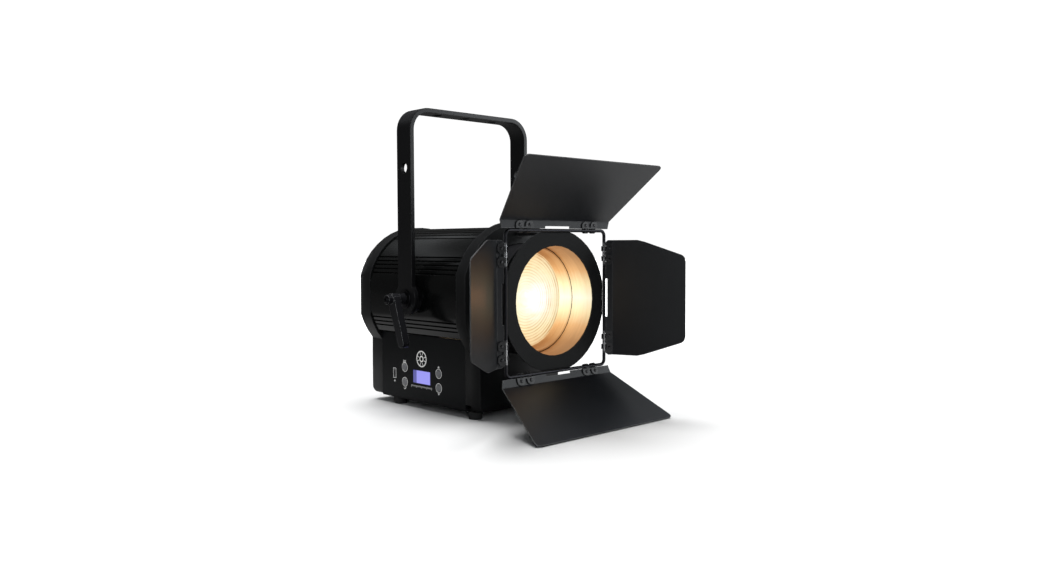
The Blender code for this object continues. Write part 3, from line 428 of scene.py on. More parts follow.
def aimed(heading):
    """The turn that points a light's -Z along the heading."""
    return Vector(heading).to_track_quat("-Z", "Y")


def solid(name, points, faces, material, smooth=32.0):
    """A mesh object from points (n, 3) and a list of face index arrays, with outward normals."""
    mesh = bpy.data.meshes.new(name)
    mesh.from_pydata(np.asarray(points, float).tolist(), [], [list(map(int, f)) for f in faces])
    bm = bmesh.new()
    bm.from_mesh(mesh)
    bmesh.ops.remove_doubles(bm, verts=bm.verts, dist=1e-7)
    bmesh.ops.recalc_face_normals(bm, faces=bm.faces)
    bm.to_mesh(mesh)
    bm.free()
    mesh.materials.append(material)
    mesh.shade_smooth()
    mesh.set_sharp_from_angle(angle=radians(smooth))
    return linked(name, mesh)


def grid_faces(rows, columns, wrap_rows=False, wrap_columns=True, start=0):
    """Quads of a grid of points stored row by row, wrapped round either way."""
    r = np.arange(rows if wrap_rows else rows - 1)
    c = np.arange(columns if wrap_columns else columns - 1)
    r, c = (v.ravel() for v in np.meshgrid(r, c, indexing="ij"))
    r2, c2 = (r + 1) % rows, (c + 1) % columns
    return np.stack([r * columns + c, r * columns + c2, r2 * columns + c2, r2 * columns + c], 1) + start


def revolve(profile, steps):
    """A closed profile (radius r, height h) turned about Y: (r cos a, h, r sin a) for angles a."""
    r, h = np.asarray(profile, float).T
    a = np.linspace(0, tau, steps, endpoint=False)
    points = np.stack([r[:, None] * np.cos(a), np.repeat(h[:, None], steps, 1), r[:, None] * np.sin(a)], -1)
    return points.reshape(-1, 3), grid_faces(len(r), steps, wrap_rows=True)


def carry(path, section, normals, sides, closed=True):
    """A section (u, v) carried along a path: point + u * normal + v * side, at every path point."""
    u, v = np.asarray(section, float).T[:, None, :, None]
    points = path[:, None] + u * normals[:, None] + v * sides[:, None]
    faces = list(grid_faces(len(path), len(section), wrap_rows=closed))
    if not closed:
        last = (len(path) - 1) * len(section)
        faces += [np.arange(len(section))[::-1], np.arange(len(section)) + last]
    return points.reshape(-1, 3), faces


def disc_section(radius, count):
    """A circle (r cos a, r sin a)."""
    a = np.linspace(0, tau, count, endpoint=False)
    return np.stack([radius * np.cos(a), radius * np.sin(a)], 1)


def joined(*parts):
    """Several (points, faces) pairs as one."""
    points, faces, start = [], [], 0
    for p, f in parts:
        points.append(np.asarray(p, float))
        faces += [np.asarray(face) + start for face in f]
        start += len(p)
    return np.concatenate(points), faces


def moved(part, matrix):
    """(points, faces) through a 4x4 matrix."""
    points, faces = part
    m = np.array(matrix)
    return np.asarray(points) @ m[:3, :3].T + m[:3, 3], faces


def plate(outline, low, high):
    """An outline (u, v) as a flat plate between two heights: side walls, and one face at each end."""
    outline = np.asarray(outline, float)
    n = len(outline)
    points = np.concatenate([np.column_stack([outline, np.full(n, h)]) for h in (low, high)])
    faces = list(grid_faces(2, n)) + [np.arange(n)[::-1], np.arange(n) + n]
    return points, faces


# Pieces carried over from the model

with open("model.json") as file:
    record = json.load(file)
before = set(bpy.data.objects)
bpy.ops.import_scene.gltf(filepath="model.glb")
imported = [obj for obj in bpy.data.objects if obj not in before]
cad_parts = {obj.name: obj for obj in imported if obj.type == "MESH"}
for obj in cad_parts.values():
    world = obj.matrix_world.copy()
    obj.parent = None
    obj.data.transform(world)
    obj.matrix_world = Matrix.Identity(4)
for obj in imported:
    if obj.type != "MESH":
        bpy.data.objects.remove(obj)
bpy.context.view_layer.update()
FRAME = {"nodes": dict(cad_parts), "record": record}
BODY = {n: b for b, names in FRAME["record"]["behaviour"]["bodies"].items() for n in names}


def adopt(piece, node, body=None):
    """The piece takes the node's place: its body and its showing."""
    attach(piece, body or BODY[node])
    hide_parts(node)
    return piece


def skin(node, material):
    """A merged copy of the node, smooth across its curves, which takes its place."""
    mesh = FRAME["nodes"][node].data.copy()
    bm = bmesh.new()
    bm.from_mesh(mesh)
    bmesh.ops.remove_doubles(bm, verts=bm.verts, dist=2e-6)
    bm.to_mesh(mesh)
    bm.free()
    mesh.name = node + "_skin"
    mesh.materials.clear()
    mesh.materials.append(material)
    if "custom_normal" in mesh.attributes:
        mesh.attributes.remove(mesh.attributes["custom_normal"])
    mesh.shade_smooth()
    mesh.set_sharp_from_angle(angle=radians(34.0))
    return adopt(linked(node + "_skin", mesh), node)


def repaint(node, material):
    """The node stays, in a better material."""
    for entry in FRAME["nodes"][node].material_slots:
        entry.material = material


# Optics


def lens():
    """Stepped lens, a closed profile turned about the beam.

    From the rim inward each ring falls slowly and rises steeply, over a shallow dome at the middle: radius
    R cos a, height H sin a.
    """
    flat, step, dome, thick = LENS_FRONT, 0.0014, 0.0030, 0.0042
    rim, axis = 0.0582, 1e-5
    edges = np.linspace(rim, 0.0115, RINGS)
    outer, inner = edges[:-1], edges[1:]
    crest = np.column_stack([outer - 0.0003, np.full(RINGS - 1, flat - step)])
    valley = np.column_stack([inner, np.full(RINGS - 1, flat)])
    profile = [(LENS_R, flat + thick), (LENS_R, flat + 0.0004), (rim, flat + 0.0004)]
    profile += np.stack([crest, valley], 1).reshape(-1, 2).tolist()
    a = np.linspace(0, pi / 2, 8)
    profile += np.column_stack([0.0112 * np.cos(a), flat - dome * np.sin(a)]).tolist()
    profile[-1] = (axis, flat - dome)
    profile += [(axis, flat + thick)]
    points, faces = revolve(profile, 120)
    return adopt(solid("stepped_lens", lamp(points), faces, MATERIAL["lens"], 20), "fresnel_lens")


def glow_lamp():
    """The beam and its spill: a disc just in front of the lens, and a warm spot on the left leaf."""
    data = bpy.data.lights.new("beam", "AREA")
    data.shape, data.size = "DISK", 0.104
    data.energy, data.color = BEAM_WATTS, (1.0, 0.78, 0.50)
    beam = linked("beam", data)
    before_lens = lamp((0, LENS_FRONT - 0.0035, 0))
    beam.matrix_world = Matrix.Translation(before_lens) @ Matrix.Rotation(pi / 2, 4, "X")
    beam.visible_camera = False
    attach(beam, "zoom_carriage")
    data = bpy.data.lights.new("spill", "SPOT")
    data.energy, data.color = SPILL_WATTS, (1.0, 0.36, 0.12)
    data.spot_size, data.spot_blend, data.shadow_soft_size = radians(42), 1.0, 0.008
    spill = linked("spill", data)
    start, end = Vector((0.052, LENS_FRONT - 0.008, 0)), Vector((-0.094, -0.022, 0.003))
    spill.matrix_world = Matrix.Translation(lamp(start)) @ aimed(end - start).to_matrix().to_4x4()
    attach(spill, "zoom_carriage")


# Barn doors


def leaf_matrix(side):
    """From a leaf's own place, hinged on the wire at the origin, to the model's."""
    turn, angle = LEAVES[side]
    place = Matrix.Translation(LAMP) @ Matrix.Rotation(radians(turn), 4, "Y")
    return place @ Matrix.Translation((0, 0, WIRE_HALF)) @ Matrix.Rotation(radians(angle - LEAF_FOLD), 4, "X")


def half_width(v, wide):
    """A leaf's half width at distance v from the wire: straight or slanted sides and a round corner."""
    if wide:
        at, width = (LEAF_START, LEAF_BEND, LEAF_END), (0.0885, 0.0910, 0.1150)
        radius = 0.005
    else:
        at, width = (LEAF_START, LEAF_START + 0.003, 0.0465, LEAF_END), (0.0683, 0.0713, 0.0713, 0.0515)
        radius = 0.009
    tilt = np.arctan((width[-1] - width[-2]) / (at[-1] - at[-2]))
    centre_v = LEAF_END - radius
    centre_u = np.interp(centre_v, at, width) - radius / np.cos(tilt)
    begin = centre_v - radius * np.sin(tilt)
    over = np.clip(v - centre_v, -radius, radius)
    round_corner = centre_u + np.sqrt(np.clip(radius ** 2 - over ** 2, 0, None))
    side = np.interp(v, at, width)
    return np.where(v > begin, np.minimum(side, round_corner), side)


def leaf_grid(wide, reach):
    """The flat sheet's points (u, v): rows run from the hinge edge outward, columns from side to side.

    Each row is half_width() to either side. The hinge edge steps back at the curls and across the notch.
    """
    bend_rows = LEAF_BEND - LEAF_START + np.linspace(-reach, reach, 7)
    corner_rows = LEAF_END - LEAF_START - 0.0098 * np.cos(np.linspace(0, pi / 2, 12))
    rows = [[0, 0.0016, 0.0036, 0.0060], bend_rows, np.linspace(0.014, 0.088, 9), corner_rows]
    v = LEAF_START + np.unique(np.round(np.concatenate(rows), 6))
    w = half_width(v, wide)
    curls = [CLIP_MID - CURL_MID, CLIP_MID + CURL_MID]
    clear = KNUCKLE / 2 + 0.0004
    notch = 0.0205 if wide else 0.0235
    steps = [notch] + [c + k * clear for c in curls for k in (-1, 1)]
    right = np.array([x for step in steps for x in (step - 0.0001, step + 0.0001)])
    fixed = np.concatenate([-right[::-1], right])
    u = np.concatenate([-w[:, None], np.broadcast_to(fixed, (len(v), len(fixed))), w[:, None]], 1)
    u = np.where(np.abs(u) > w[:, None], np.sign(u) * w[:, None], u)
    cut = np.full(u.shape, LEAF_START)
    for c in curls:
        cut = np.where(np.abs(np.abs(u) - c) < clear, LEAF_CUT, cut)
    cut = np.where(np.abs(u) < notch, NOTCH_END, cut)
    return u, np.maximum(v[:, None], cut + (v[:, None] - LEAF_START) * 0.05)


def leaf(side):
    """A sheet bent once: flat flange, an arc of the fold's angle, then the flat main sheet.

    The arc is y = -r (1 - cos a), z = r sin a, and both faces lie half the thickness off that surface.
    """
    fold = radians(LEAF_FOLD)
    reach = LEAF_RADIUS * np.tan(fold / 2)
    u, v = leaf_grid(side in ("top", "bottom"), reach)
    a = np.clip((v - LEAF_BEND + reach) / (2 * reach), 0, 1) * fold
    far = np.clip(v - LEAF_BEND - reach, 0, None)
    y = -LEAF_RADIUS * (1 - np.cos(a)) - far * sin(fold)
    z = np.minimum(v, LEAF_BEND - reach) + LEAF_RADIUS * np.sin(a) + far * cos(fold)
    middle = np.stack([u, y, z], -1)
    normal = np.stack([np.zeros_like(u), np.cos(a), np.sin(a)], -1)
    points = [(middle + normal * s * LEAF_THICK / 2).reshape(-1, 3) for s in (1, -1)]
    ids = np.arange(u.size).reshape(u.shape)
    faces = [f for start in (0, u.size) for f in grid_faces(*u.shape, wrap_columns=False, start=start)]
    rim = np.concatenate([ids[0], ids[1:, -1], ids[-1, -2::-1], ids[-2:0:-1, 0]])
    after = np.roll(rim, -1)
    faces += list(np.stack([rim, after, after + u.size, rim + u.size], 1))
    part = moved((np.concatenate(points), faces), leaf_matrix(side))
    return adopt(solid(f"door_leaf_{side}", *part, leaf_paint(side), 25), f"leaf_{side}")


def knuckle(middle, width):
    """A strip curled round the wire: an arc band that starts tangent to the plate and ends short of it."""
    a = np.radians(np.linspace(62, -232, 22))
    outer = np.stack([-CURL_R * np.sin(a), CURL_R * np.cos(a)], 1)
    inner = np.stack([-CURL_IN * np.sin(a), CURL_IN * np.cos(a)], 1)[::-1]
    outline = np.concatenate([outer, inner])
    n = len(outline)
    points = np.concatenate([np.column_stack([np.full(n, middle + s * width / 2), outline]) for s in (-1, 1)])
    half = n // 2
    faces = list(grid_faces(2, n))
    for start in (0, n):
        i = np.arange(half - 1)
        faces += list(np.stack([start + i, start + i + 1, start + n - 2 - i, start + n - 1 - i], 1))
    return points, faces


def clip_plate(middle):
    """The clip's plate: two round lobes, each on its own rivet, joined by a web along the wire."""
    low, neck, high, rise = 0.0022, 0.0040, 0.0110, 0.0046
    left, right = middle - LOBE_MID, middle + LOBE_MID
    a = np.radians(np.linspace(0, 180, 13))
    lobe = np.column_stack([LOBE_HALF * np.cos(a), high - rise + rise * np.sin(a)])
    outline = np.concatenate([
        [(left - LOBE_HALF, low), (right + LOBE_HALF, low)], lobe + (right, 0),
        [(right - LOBE_HALF, neck), (left + LOBE_HALF, neck)], lobe + (left, 0)])
    part = plate(outline, LEAF_THICK / 2 + 0.0003, LEAF_THICK / 2 + 0.0014)
    return moved(part, Matrix(((1, 0, 0, 0), (0, 0, -1, 0), (0, 1, 0, 0), (0, 0, 0, 1))))


def rivet(x, base):
    """Domed head on -Y: radius r = R cos a, height = H sin a, from its rim to its pole."""
    radius, height, axis = 0.0021, 0.0011, 2e-5
    a = np.linspace(0, pi / 2, 6)
    profile = np.column_stack([radius * np.cos(a), base - height * np.sin(a)])
    profile[-1, 0] = axis
    profile = np.concatenate([[[axis, base + 0.0004], [radius, base + 0.0004]], profile])
    points, faces = revolve(profile, 14)
    return points + (x, 0, RIVET_Z), faces


def clips_and_rivets(side):
    """A leaf's two clips, each with two curls, and a rivet through each lobe with a head on both faces."""
    matrix = leaf_matrix(side)
    heads = []
    for end, s in (("a", -1), ("b", 1)):
        middle = s * CLIP_MID
        parts = [clip_plate(middle)]
        parts += [knuckle(middle + k * CURL_MID, KNUCKLE) for k in (-1, 1)]
        name = f"hinge_clip_{side}_{end}"
        adopt(solid(f"curled_{name}", *moved(joined(*parts), matrix), MATERIAL["clip"], 30), name)
        for k in (-1, 1):
            x = middle + k * LOBE_MID
            heads.append(rivet(x, -LEAF_THICK / 2 - 0.0014))
            heads.append(moved(rivet(-x, -LEAF_THICK / 2 - 0.0001), Matrix.Rotation(pi, 4, "Z")))
    piece = solid(f"rivets_{side}", *moved(joined(*heads), matrix), MATERIAL["rivet"], 30)
    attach(piece, f"leaf_{side}")


def wire_frame():
    """Round wire bent to a square: a circle carried along four sides joined by quarter circles."""
    corners = []
    middle = WIRE_HALF - WIRE_BEND
    for quarter, (sx, sz) in enumerate(((1, 1), (-1, 1), (-1, -1), (1, -1))):
        a = np.radians(90 * quarter + np.linspace(0, 90, 11))
        x, z = sx * middle + WIRE_BEND * np.cos(a), sz * middle + WIRE_BEND * np.sin(a)
        corners.append(np.column_stack([x, 0 * a, z]))
    path = np.concatenate(corners)
    tangent = np.roll(path, -1, 0) - np.roll(path, 1, 0)
    tangent /= np.linalg.norm(tangent, axis=1, keepdims=True)
    side = np.broadcast_to((0.0, 1.0, 0.0), path.shape)
    points, faces = carry(path, disc_section(WIRE_R, 14), np.cross(side, tangent), side)
    return adopt(solid("bent_wire_frame", lamp(points), faces, MATERIAL["wire"], 60), "wire_frame")


# Small hardware


def socket_screw(place, direction, radius, height, recess=0.5):
    """A screw head: rings that rise to a domed rim and fall into a six-sided socket.

    The socket's radius is its apothem / cos(angle from a flat's middle).
    """
    steps = 24
    a = np.linspace(0, tau, steps, endpoint=False)
    hexagon = radius * recess * 0.87 / np.cos((a % (pi / 3)) - pi / 6)
    rows = [(radius, 0.0), (radius, height * 0.7), (radius * 0.86, height), (radius * 0.62, height),
            (hexagon, height), (0.98 * hexagon, height * 0.35), (0.02 * hexagon, height * 0.30)]
    rings = [np.column_stack([r * np.cos(a), r * np.sin(a), np.full(steps, h)]) for r, h in rows]
    faces = list(grid_faces(len(rings), steps))
    faces += [np.arange(steps)[::-1], np.arange(steps) + (len(rings) - 1) * steps]
    turn = Vector(direction).to_track_quat("Z", "Y").to_matrix().to_4x4()
    return moved((np.concatenate(rings), faces), Matrix.Translation(Vector(place)) @ turn)


def washer(x, inner, outer, thick):
    """A ring about the tilt axis, with its outer edges eased."""
    ease = 0.0003
    profile = [(inner, 0), (outer - ease, 0), (outer, ease),
               (outer, thick - ease), (outer - ease, thick), (inner, thick)]
    points, faces = revolve(profile, 40)
    return points[:, [1, 0, 2]] * (1 if x > 0 else -1, 1, 1) + (x, PIVOT_Y, 0), faces


def tilt_ticks(s):
    """Raised bars on one side's yoke eye, every 15 degrees round its lower half."""
    outline = [(0.0148, -0.0003), (0.0188, -0.0003), (0.0188, 0.0003), (0.0148, 0.0003)]
    on_eye = Matrix(((0, 0, s, s * TICK_X), (1, 0, 0, 0), (0, 1, 0, 0), (0, 0, 0, 1)))
    ticks = []
    for degree in range(-150, -29, 15):
        turn = Matrix.Rotation(radians(degree), 4, "X") @ on_eye
        ticks.append(moved(plate(outline, -0.0002, 0.0003), Matrix.Translation((0, PIVOT_Y, 0)) @ turn))
    return joined(*ticks)


def pivot_hardware():
    """Each side: washers on the stud, a screw in the lever's cap, and the angle ticks on the yoke's eye."""
    for side, s in (("left", -1), ("right", 1)):
        wide, narrow = washer(s * 0.0986, 0.0050, 0.0118, 0.0013), washer(s * 0.0999, 0.0050, 0.0088, 0.0004)
        points, faces = joined(wide, narrow)
        piece = solid(f"washers_{side}", lamp(points), faces, MATERIAL["black_screw"])
        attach(piece, "housing")
        points, faces = socket_screw((s * 0.1259, PIVOT_Y, 0), (s, 0, 0), 0.0040, 0.0016)
        piece = solid(f"lever_screw_{side}", lamp(points), faces, MATERIAL["black_screw"])
        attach(piece, f"clamp_lever_{side}")
        points, faces = tilt_ticks(s)
        piece = solid(f"tilt_ticks_{side}", lamp(points), faces, MATERIAL["tick"])
        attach(piece, "yoke")


def ring_tube(radius, wire):
    """A torus about Y: a small circle carried round a large one."""
    a = np.linspace(0, tau, 72, endpoint=False)
    normal = np.column_stack([np.cos(a), 0 * a, np.sin(a)])
    side = np.broadcast_to((0.0, 1.0, 0.0), normal.shape)
    return carry(normal * radius, disc_section(wire, 10), normal, side)


def straight_tube(start, end, wire):
    """A circle carried from one point to another, with a flat end at each."""
    path = np.stack([start, end])
    along = (path[1] - path[0]) / np.linalg.norm(path[1] - path[0])
    side = np.broadcast_to((0.0, 1.0, 0.0), path.shape)
    return carry(path, disc_section(wire, 10), np.cross(along, side), side, closed=False)


def fan_guard():
    """Welded finger guard: round wire rings joined by four spokes, with a cap at the middle."""
    parts = [moved(ring_tube(r, 0.0009), Matrix.Translation((0, GUARD_Y, 0))) for r in GUARD_RINGS]
    lift = np.array((0, GUARD_Y - 0.0010, 0))
    for degree in (45, 135, 225, 315):
        d = np.array((cos(radians(degree)), 0, sin(radians(degree))))
        parts.append(straight_tube(d * 0.0128 + lift, d * 0.0418 + lift, 0.0008))
    cap = plate(disc_section(0.0132, 40), -0.0004, 0.0004)
    turn = Matrix(((1, 0, 0, 0), (0, 0, 1, GUARD_Y - 0.0012), (0, 1, 0, 0), (0, 0, 0, 1)))
    points, faces = joined(*parts, moved(cap, turn))
    return adopt(solid("wire_finger_guard", lamp(points), faces, MATERIAL["clip"], 50), "fan_guard")


def rear_hardware():
    """Screws in the rear casting and sockets, and the contacts inside the sockets."""
    back = (0, 1, 0)
    places = [(s * x, z) for x, z in ((0.072, 0.030), (0.056, -0.060), (0.040, 0.064)) for s in (-1, 1)]
    screws = [socket_screw((x, 0.290, z), back, 0.0030, 0.0018) for x, z in places]
    for x in SOCKET_XS:
        for s in (-1, 1):
            corner = (x + s * 0.0108, 0.2923, SOCKET_Z + s * 0.0132)
            screws.append(socket_screw(corner, back, 0.0016, 0.0008))
    points, faces = joined(*screws)
    piece = solid("rear_screws", lamp(points), faces, MATERIAL["black_screw"])
    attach(piece, "housing")
    pins = []
    for x in SOCKET_XS:
        for a in (radians(90), radians(210), radians(330)):
            start = (x + 0.0045 * cos(a), 0.2783, SOCKET_Z + 0.0045 * sin(a))
            pins.append(socket_screw(start, back, 0.0012, 0.0075, 0.2))
    points, faces = joined(*pins)
    piece = solid("socket_pins", lamp(points), faces, MATERIAL["brass"])
    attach(piece, "housing")


def foot_screws():
    """The screw under each foot."""
    places = [(x, y, -0.1386) for x in (-0.058, 0.058) for y in (0.082, 0.235)]
    points, faces = joined(*[socket_screw(place, (0, 0, -1), 0.0038, 0.0018) for place in places])
    piece = solid("foot_screws", lamp(points), faces, MATERIAL["zinc"])
    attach(piece, "housing")


# Marks printed on the control panel


def panel_part(outline):
    """A flat (y, z) outline laid on the panel's outer face, as thick as ink."""
    part = plate(outline, 0.0, PANEL_MARK)
    return moved(part, Matrix(((0, 0, -1, PANEL_X), (1, 0, 0, 0), (0, 1, 0, 0), (0, 0, 0, 1))))


def bar_mark(start, end, width):
    """A straight printed stroke with round ends between two (y, z) points of the panel."""
    start, end = np.array(start, float), np.array(end, float)
    heading = np.arctan2(*(end - start)[::-1])
    a = heading + np.linspace(-pi / 2, pi / 2, 6)
    cap = width / 2 * np.column_stack([np.cos(a), np.sin(a)])
    return panel_part(np.concatenate([end + cap, start - cap]))


def strokes(points, width):
    """A straight stroke from each point to the next."""
    return [bar_mark(p, q, width) for p, q in zip(points[:-1], points[1:])]


def ring_mark(middle, radius, width):
    """A printed ring, as short straight strokes."""
    a = np.radians(np.linspace(0, 360, 25))
    return strokes(np.array(middle) + radius * np.column_stack([np.cos(a), np.sin(a)]), width)


def panel_marks():
    """Generic marks: a ray ring, a menu sign, a tick, arrows, a port sign, a scale and the port's outline."""
    parts = ring_mark(RAY_RING, 0.0098, 0.0016) + ring_mark(RAY_RING, 0.0034, 0.0016)
    for degree in (20, 70, 110, 160, 200, 250, 290, 340):
        d = np.array((cos(radians(degree)), sin(radians(degree))))
        parts.append(bar_mark(RAY_RING + d * 0.0056, RAY_RING + d * 0.0092, 0.0011))
    for i in range(3):
        z = -0.0848 - 0.0013 * i + 0.0012
        parts.append(bar_mark((0.2142, z), (0.2086, z), 0.0007))
    parts += strokes([(0.2130, -0.1197), (0.2112, -0.1210), (0.2082, -0.1180)], 0.0009)
    parts.append(panel_part([(0.1376, -0.0868), (0.1424, -0.0868), (0.1400, -0.0842)]))
    parts.append(panel_part([(0.1376, -0.1183), (0.1400, -0.1209), (0.1424, -0.1183)]))
    parts.append(bar_mark((0.2335, -0.1108), (0.2335, -0.1140), 0.0007))
    parts.append(bar_mark((0.2352, -0.1124), (0.2318, -0.1124), 0.0007))
    for i in range(21):
        y, length = 0.1965 - 0.0021 * i, 0.0026 if i % 5 == 0 else 0.0015
        parts.append(bar_mark((y, -0.1135), (y, -0.1135 - length), 0.0006))
    (y0, z0), (y1, z1) = (0.2364, -0.0957), (0.2306, -0.1083)
    parts += strokes([(y0, z0), (y1, z0), (y1, z1), (y0, z1), (y0, z0)], 0.0007)
    points, faces = joined(*parts)
    piece = solid("panel_marks", lamp(points), faces, MATERIAL["ink"])
    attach(piece, "housing")


def button_rims():
    """A pale printed ring round each button."""
    parts = []
    for middle in BUTTONS.values():
        parts += ring_mark(middle, 0.0058, 0.0007)
    points, faces = joined(*parts)
    piece = solid("button_rings", lamp(points), faces, MATERIAL["ink"])
    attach(piece, "housing")


# Stage


def area_light(name, place, size, watts, glossy=True):
    """A soft box that faces the lamp; with glossy off, it lights without a reflection of its own."""
    data = bpy.data.lights.new(name, "AREA")
    data.shape, data.size, data.size_y = "RECTANGLE", *size
    data.energy, data.color = watts, (0.93, 0.97, 1.0)
    light = linked(name, data)
    light.location = place
    light.rotation_euler = aimed(Vector((0.0, -0.05, 0.13)) - Vector(place)).to_euler()
    light.visible_camera, light.visible_glossy = False, glossy


def white_room():
    """World: white to the camera, and dim to everything else."""
    world = bpy.data.worlds.new("white_room")
    bpy.context.scene.world = world
    world.use_nodes = True
    nodes, links = world.node_tree.nodes, world.node_tree.links
    seen, dim = nodes["Background"], nodes.new("ShaderNodeBackground")
    for background, strength in ((seen, 1.05), (dim, ROOM_LIGHT)):
        background.inputs["Color"].default_value = (1, 1, 1, 1)
        background.inputs["Strength"].default_value = strength
    path, mix = nodes.new("ShaderNodeLightPath"), nodes.new("ShaderNodeMixShader")
    links.new(path.outputs["Is Camera Ray"], mix.inputs[0])
    links.new(dim.outputs[0], mix.inputs[1])
    links.new(seen.outputs[0], mix.inputs[2])
    links.new(mix.outputs[0], nodes["World Output"].inputs["Surface"])


def paper_floor():
    """Paper floor: white and shaded by the lamp to the camera; dimmer to the lamp's reflections, except for
    two painted patches of light, ahead and behind, that its surfaces reflect.
    """
    paper = Finish("floor_paper", (0.80, 0.80, 0.80), 0.9, specular_ior_level=0.0)

    def distance(centre=(0, 0, 0)):
        return paper.node("VectorMath", {"operation": "LENGTH"}, {0: paper.place(centre)}, "Value")

    camera_ray = paper.node("LightPath", {}, {}, "Is Camera Ray")
    far = distance().between(0.45, 1.3)
    ahead = distance((0.6, -1.0, FLOOR_Z)).between(0.5, 1.2)
    behind = distance((-0.12, 0.20, FLOOR_Z)).between(0.08, 0.30)
    # Painted light: two pale patches, seen only in reflections, for the lamp's surfaces to reflect
    painted_reflection_patches = (1 - ahead + (1 - behind) * 0.30).clamped()
    unseen = paper.mix(far, paper.mix(painted_reflection_patches, (0.06, 0.06, 0.06), (0.55, 0.55, 0.55)), (0.04, 0.04, 0.04))
    paper.feed("Base Color", paper.mix(camera_ray, unseen, (0.52, 0.52, 0.52)))
    paper.feed("Emission Color", paper.mix(camera_ray, (0, 0, 0), paper.mix(far, (0, 0, 0), (1, 1, 1))))
    paper.feed("Emission Strength", 1.0)
    half = 9.0
    corners = [(-half, -half, FLOOR_Z), (half, -half, FLOOR_Z), (half, half, FLOOR_Z), (-half, half, FLOOR_Z)]
    mesh = bpy.data.meshes.new("floor")
    mesh.from_pydata(corners, [], [(0, 1, 2, 3)])
    mesh.materials.append(paper.material)
    floor = linked("floor", mesh)


def studio():
    """White surroundings, a wide sun for the soft shadow, and soft boxes that shape the black surfaces."""
    white_room()
    paper_floor()
    sun = bpy.data.lights.new("overhead", "SUN")
    sun.energy, sun.angle = 6.0, radians(44)
    light = linked("overhead", sun)
    light.rotation_euler = aimed((-0.04, -0.16, -1.0)).to_euler()
    light.visible_glossy = False
    area_light("key", (-1.1, -1.5, 0.75), (0.9, 0.9), 8, glossy=False)
    area_light("right_front_box", (1.6, -1.5, 0.62), (1.1, 1.1), 10)
    area_light("back_top_box", (-0.1, 1.5, 1.30), (1.8, 0.12), 0.30)
    area_light("rear_key", (1.2, 1.5, 0.9), (0.9, 0.9), 7, glossy=False)
    area_light("left_box", (-1.8, -1.0, 0.6), (0.8, 0.8), 4.4)
    area_light("right_top_box", (1.4, -0.5, 1.4), (0.8, 0.8), 3.0)
    area_light("back_low_box", (0.25, 1.9, 0.25), (0.3, 0.6), 2.5)


def camera():
    """The camera: its place, heading and tilt, with a slight roll."""
    yaw, pitch, roll = radians(43.419), radians(-2.4734), radians(-0.2543)
    forward = Vector((sin(yaw) * cos(pitch), cos(yaw) * cos(pitch), sin(pitch)))
    right = Vector((cos(yaw), -sin(yaw), 0.0))
    up = right.cross(forward)
    right, up = cos(roll) * right + sin(roll) * up, -sin(roll) * right + cos(roll) * up
    data = bpy.data.cameras.new("camera")
    data.sensor_width, data.lens = 36.0, 30.44
    data.clip_start = 0.01
    eye = linked("camera", data)
    turn = Matrix((right, up, -forward)).transposed().to_4x4()
    eye.matrix_world = Matrix.Translation((-0.74169, -0.88855, 0.20035)) @ turn
    bpy.context.scene.camera = eye


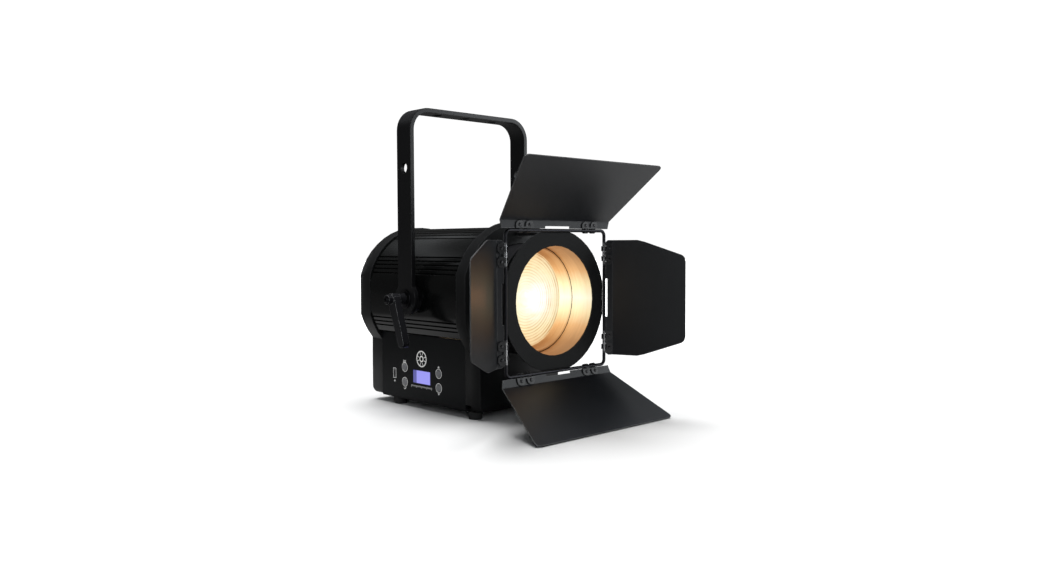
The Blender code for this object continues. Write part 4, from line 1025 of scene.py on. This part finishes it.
bpy.context.scene.view_settings.view_transform = "Standard"
camera()
MATERIAL = {
    "casting": powder_coat("cast_powder_coat", (0.0076, 0.0079, 0.0082), 0.38, 1300.0, 0.00004, 0.6, 0.4),
    "panel": powder_coat("panel_powder_coat", (0.0046, 0.0052, 0.0060), 0.40, 1700.0, 0.00003, 0.2, 0.22),
    "barrel": anodised_barrel(),
    "yoke": satin_paint("yoke_satin_black", (0.0060, 0.0060, 0.0066), 0.34, 0.0014),
    # The lever's edges take a strong pale grey: wear and a painted edge highlight
    "lever": satin_paint("lever_satin_black", (0.0110, 0.0110, 0.0125), 0.22, 0.0014, 0.8, 0.40),
    "ring": powder_coat("ring_matte_black", (0.0085, 0.0088, 0.0090), 0.62, 1800.0, 0.00003, 0.3, 0.25),
    "tube": painted_bore_glow("tube_painted_beam_glow", 0.0660, 0.006, 0.030, SLEEVE_FRONT, 1.16),
    "sleeve": painted_bore_glow("sleeve_painted_beam_glow", 0.0637, 0.036, 0.040, LENS_FRONT, 1.22),
    "lens": lit_lens(),
    "screen": lit_screen(),
    "clip": satin_paint("blackened_clip_steel", (0.0140, 0.0140, 0.0150), 0.34, 0.0004, 0.6),
    "wire": wire_wear_and_glints(),
    "rivet": bare_metal("dull_rivet", (0.10, 0.10, 0.105), 0.32),
    "zinc": bare_metal("zinc_plate", (0.56, 0.56, 0.57), 0.30),
    "black_screw": bare_metal("black_oxide", (0.06, 0.06, 0.065), 0.36),
    "aluminium": bare_metal("milled_aluminium", (0.70, 0.70, 0.72), 0.36, (0.05, 1, 1)),
    "brass": bare_metal("turned_brass", (0.72, 0.54, 0.24), 0.28),
    "rubber": moulded("foot_rubber", (0.018, 0.018, 0.018), 0.78, 2200.0, 0.00006),
    "plastic": moulded("black_moulding", (0.016, 0.016, 0.018), 0.50),
    "grey": moulded("grey_moulding", (0.26, 0.26, 0.27), 0.46),
    "tick": moulded("raised_tick", (0.05, 0.05, 0.052), 0.5),
    "board": circuit_board(),
    "phosphor": phosphor(),
    "ink": print_ink_painted_glow(),
}
SKINNED = {
    "casting": ("front_casting", "rear_casting"),
    "barrel": ("barrel_extrusion",),
    "ring": ("barndoor_ring",),
    "tube": ("lens_tube",),
    "sleeve": ("lens_sleeve",),
    "yoke": ("yoke",),
    "lever": ("clamp_lever_left", "clamp_lever_right"),
    "rubber": ("foot_front_left", "foot_front_right", "foot_rear_left", "foot_rear_right"),
    "zinc": ("zoom_screw", "guide_rod_left", "guide_rod_right", "safety_loop"),
    "grey": ("button_mode", "button_enter", "button_up", "button_down", "power_inlet", "power_outlet"),
    "plastic": ("fan_frame", "fan_rotor", "data_in", "data_out"),
    "aluminium": ("carriage_plate", "reflector", "chassis_plate"),
    "black_screw": ("zoom_motor", "lens_clip_ring", "pivot_stud_left", "pivot_stud_right"),
    "brass": ("drive_nut",),
}
REPAINTED = {
    "panel": ("control_panel", "side_panel_right", "base_tray"),
    "aluminium": ("heat_sink",),
    "zinc": ("power_supply", "service_port"),
    "screen": ("display_window",),
    "board": ("driver_board", "display_board"),
    "phosphor": ("led_board",),
}
for finish, nodes in SKINNED.items():
    for node in nodes:
        skin(node, MATERIAL[finish])
for finish, nodes in REPAINTED.items():
    for node in nodes:
        repaint(node, MATERIAL[finish])
lens()
glow_lamp()
wire_frame()
for side in LEAVES:
    leaf(side)
    clips_and_rivets(side)
pivot_hardware()
fan_guard()
rear_hardware()
foot_screws()
panel_marks()
button_rims()
studio()

bpy.context.view_layer.update()
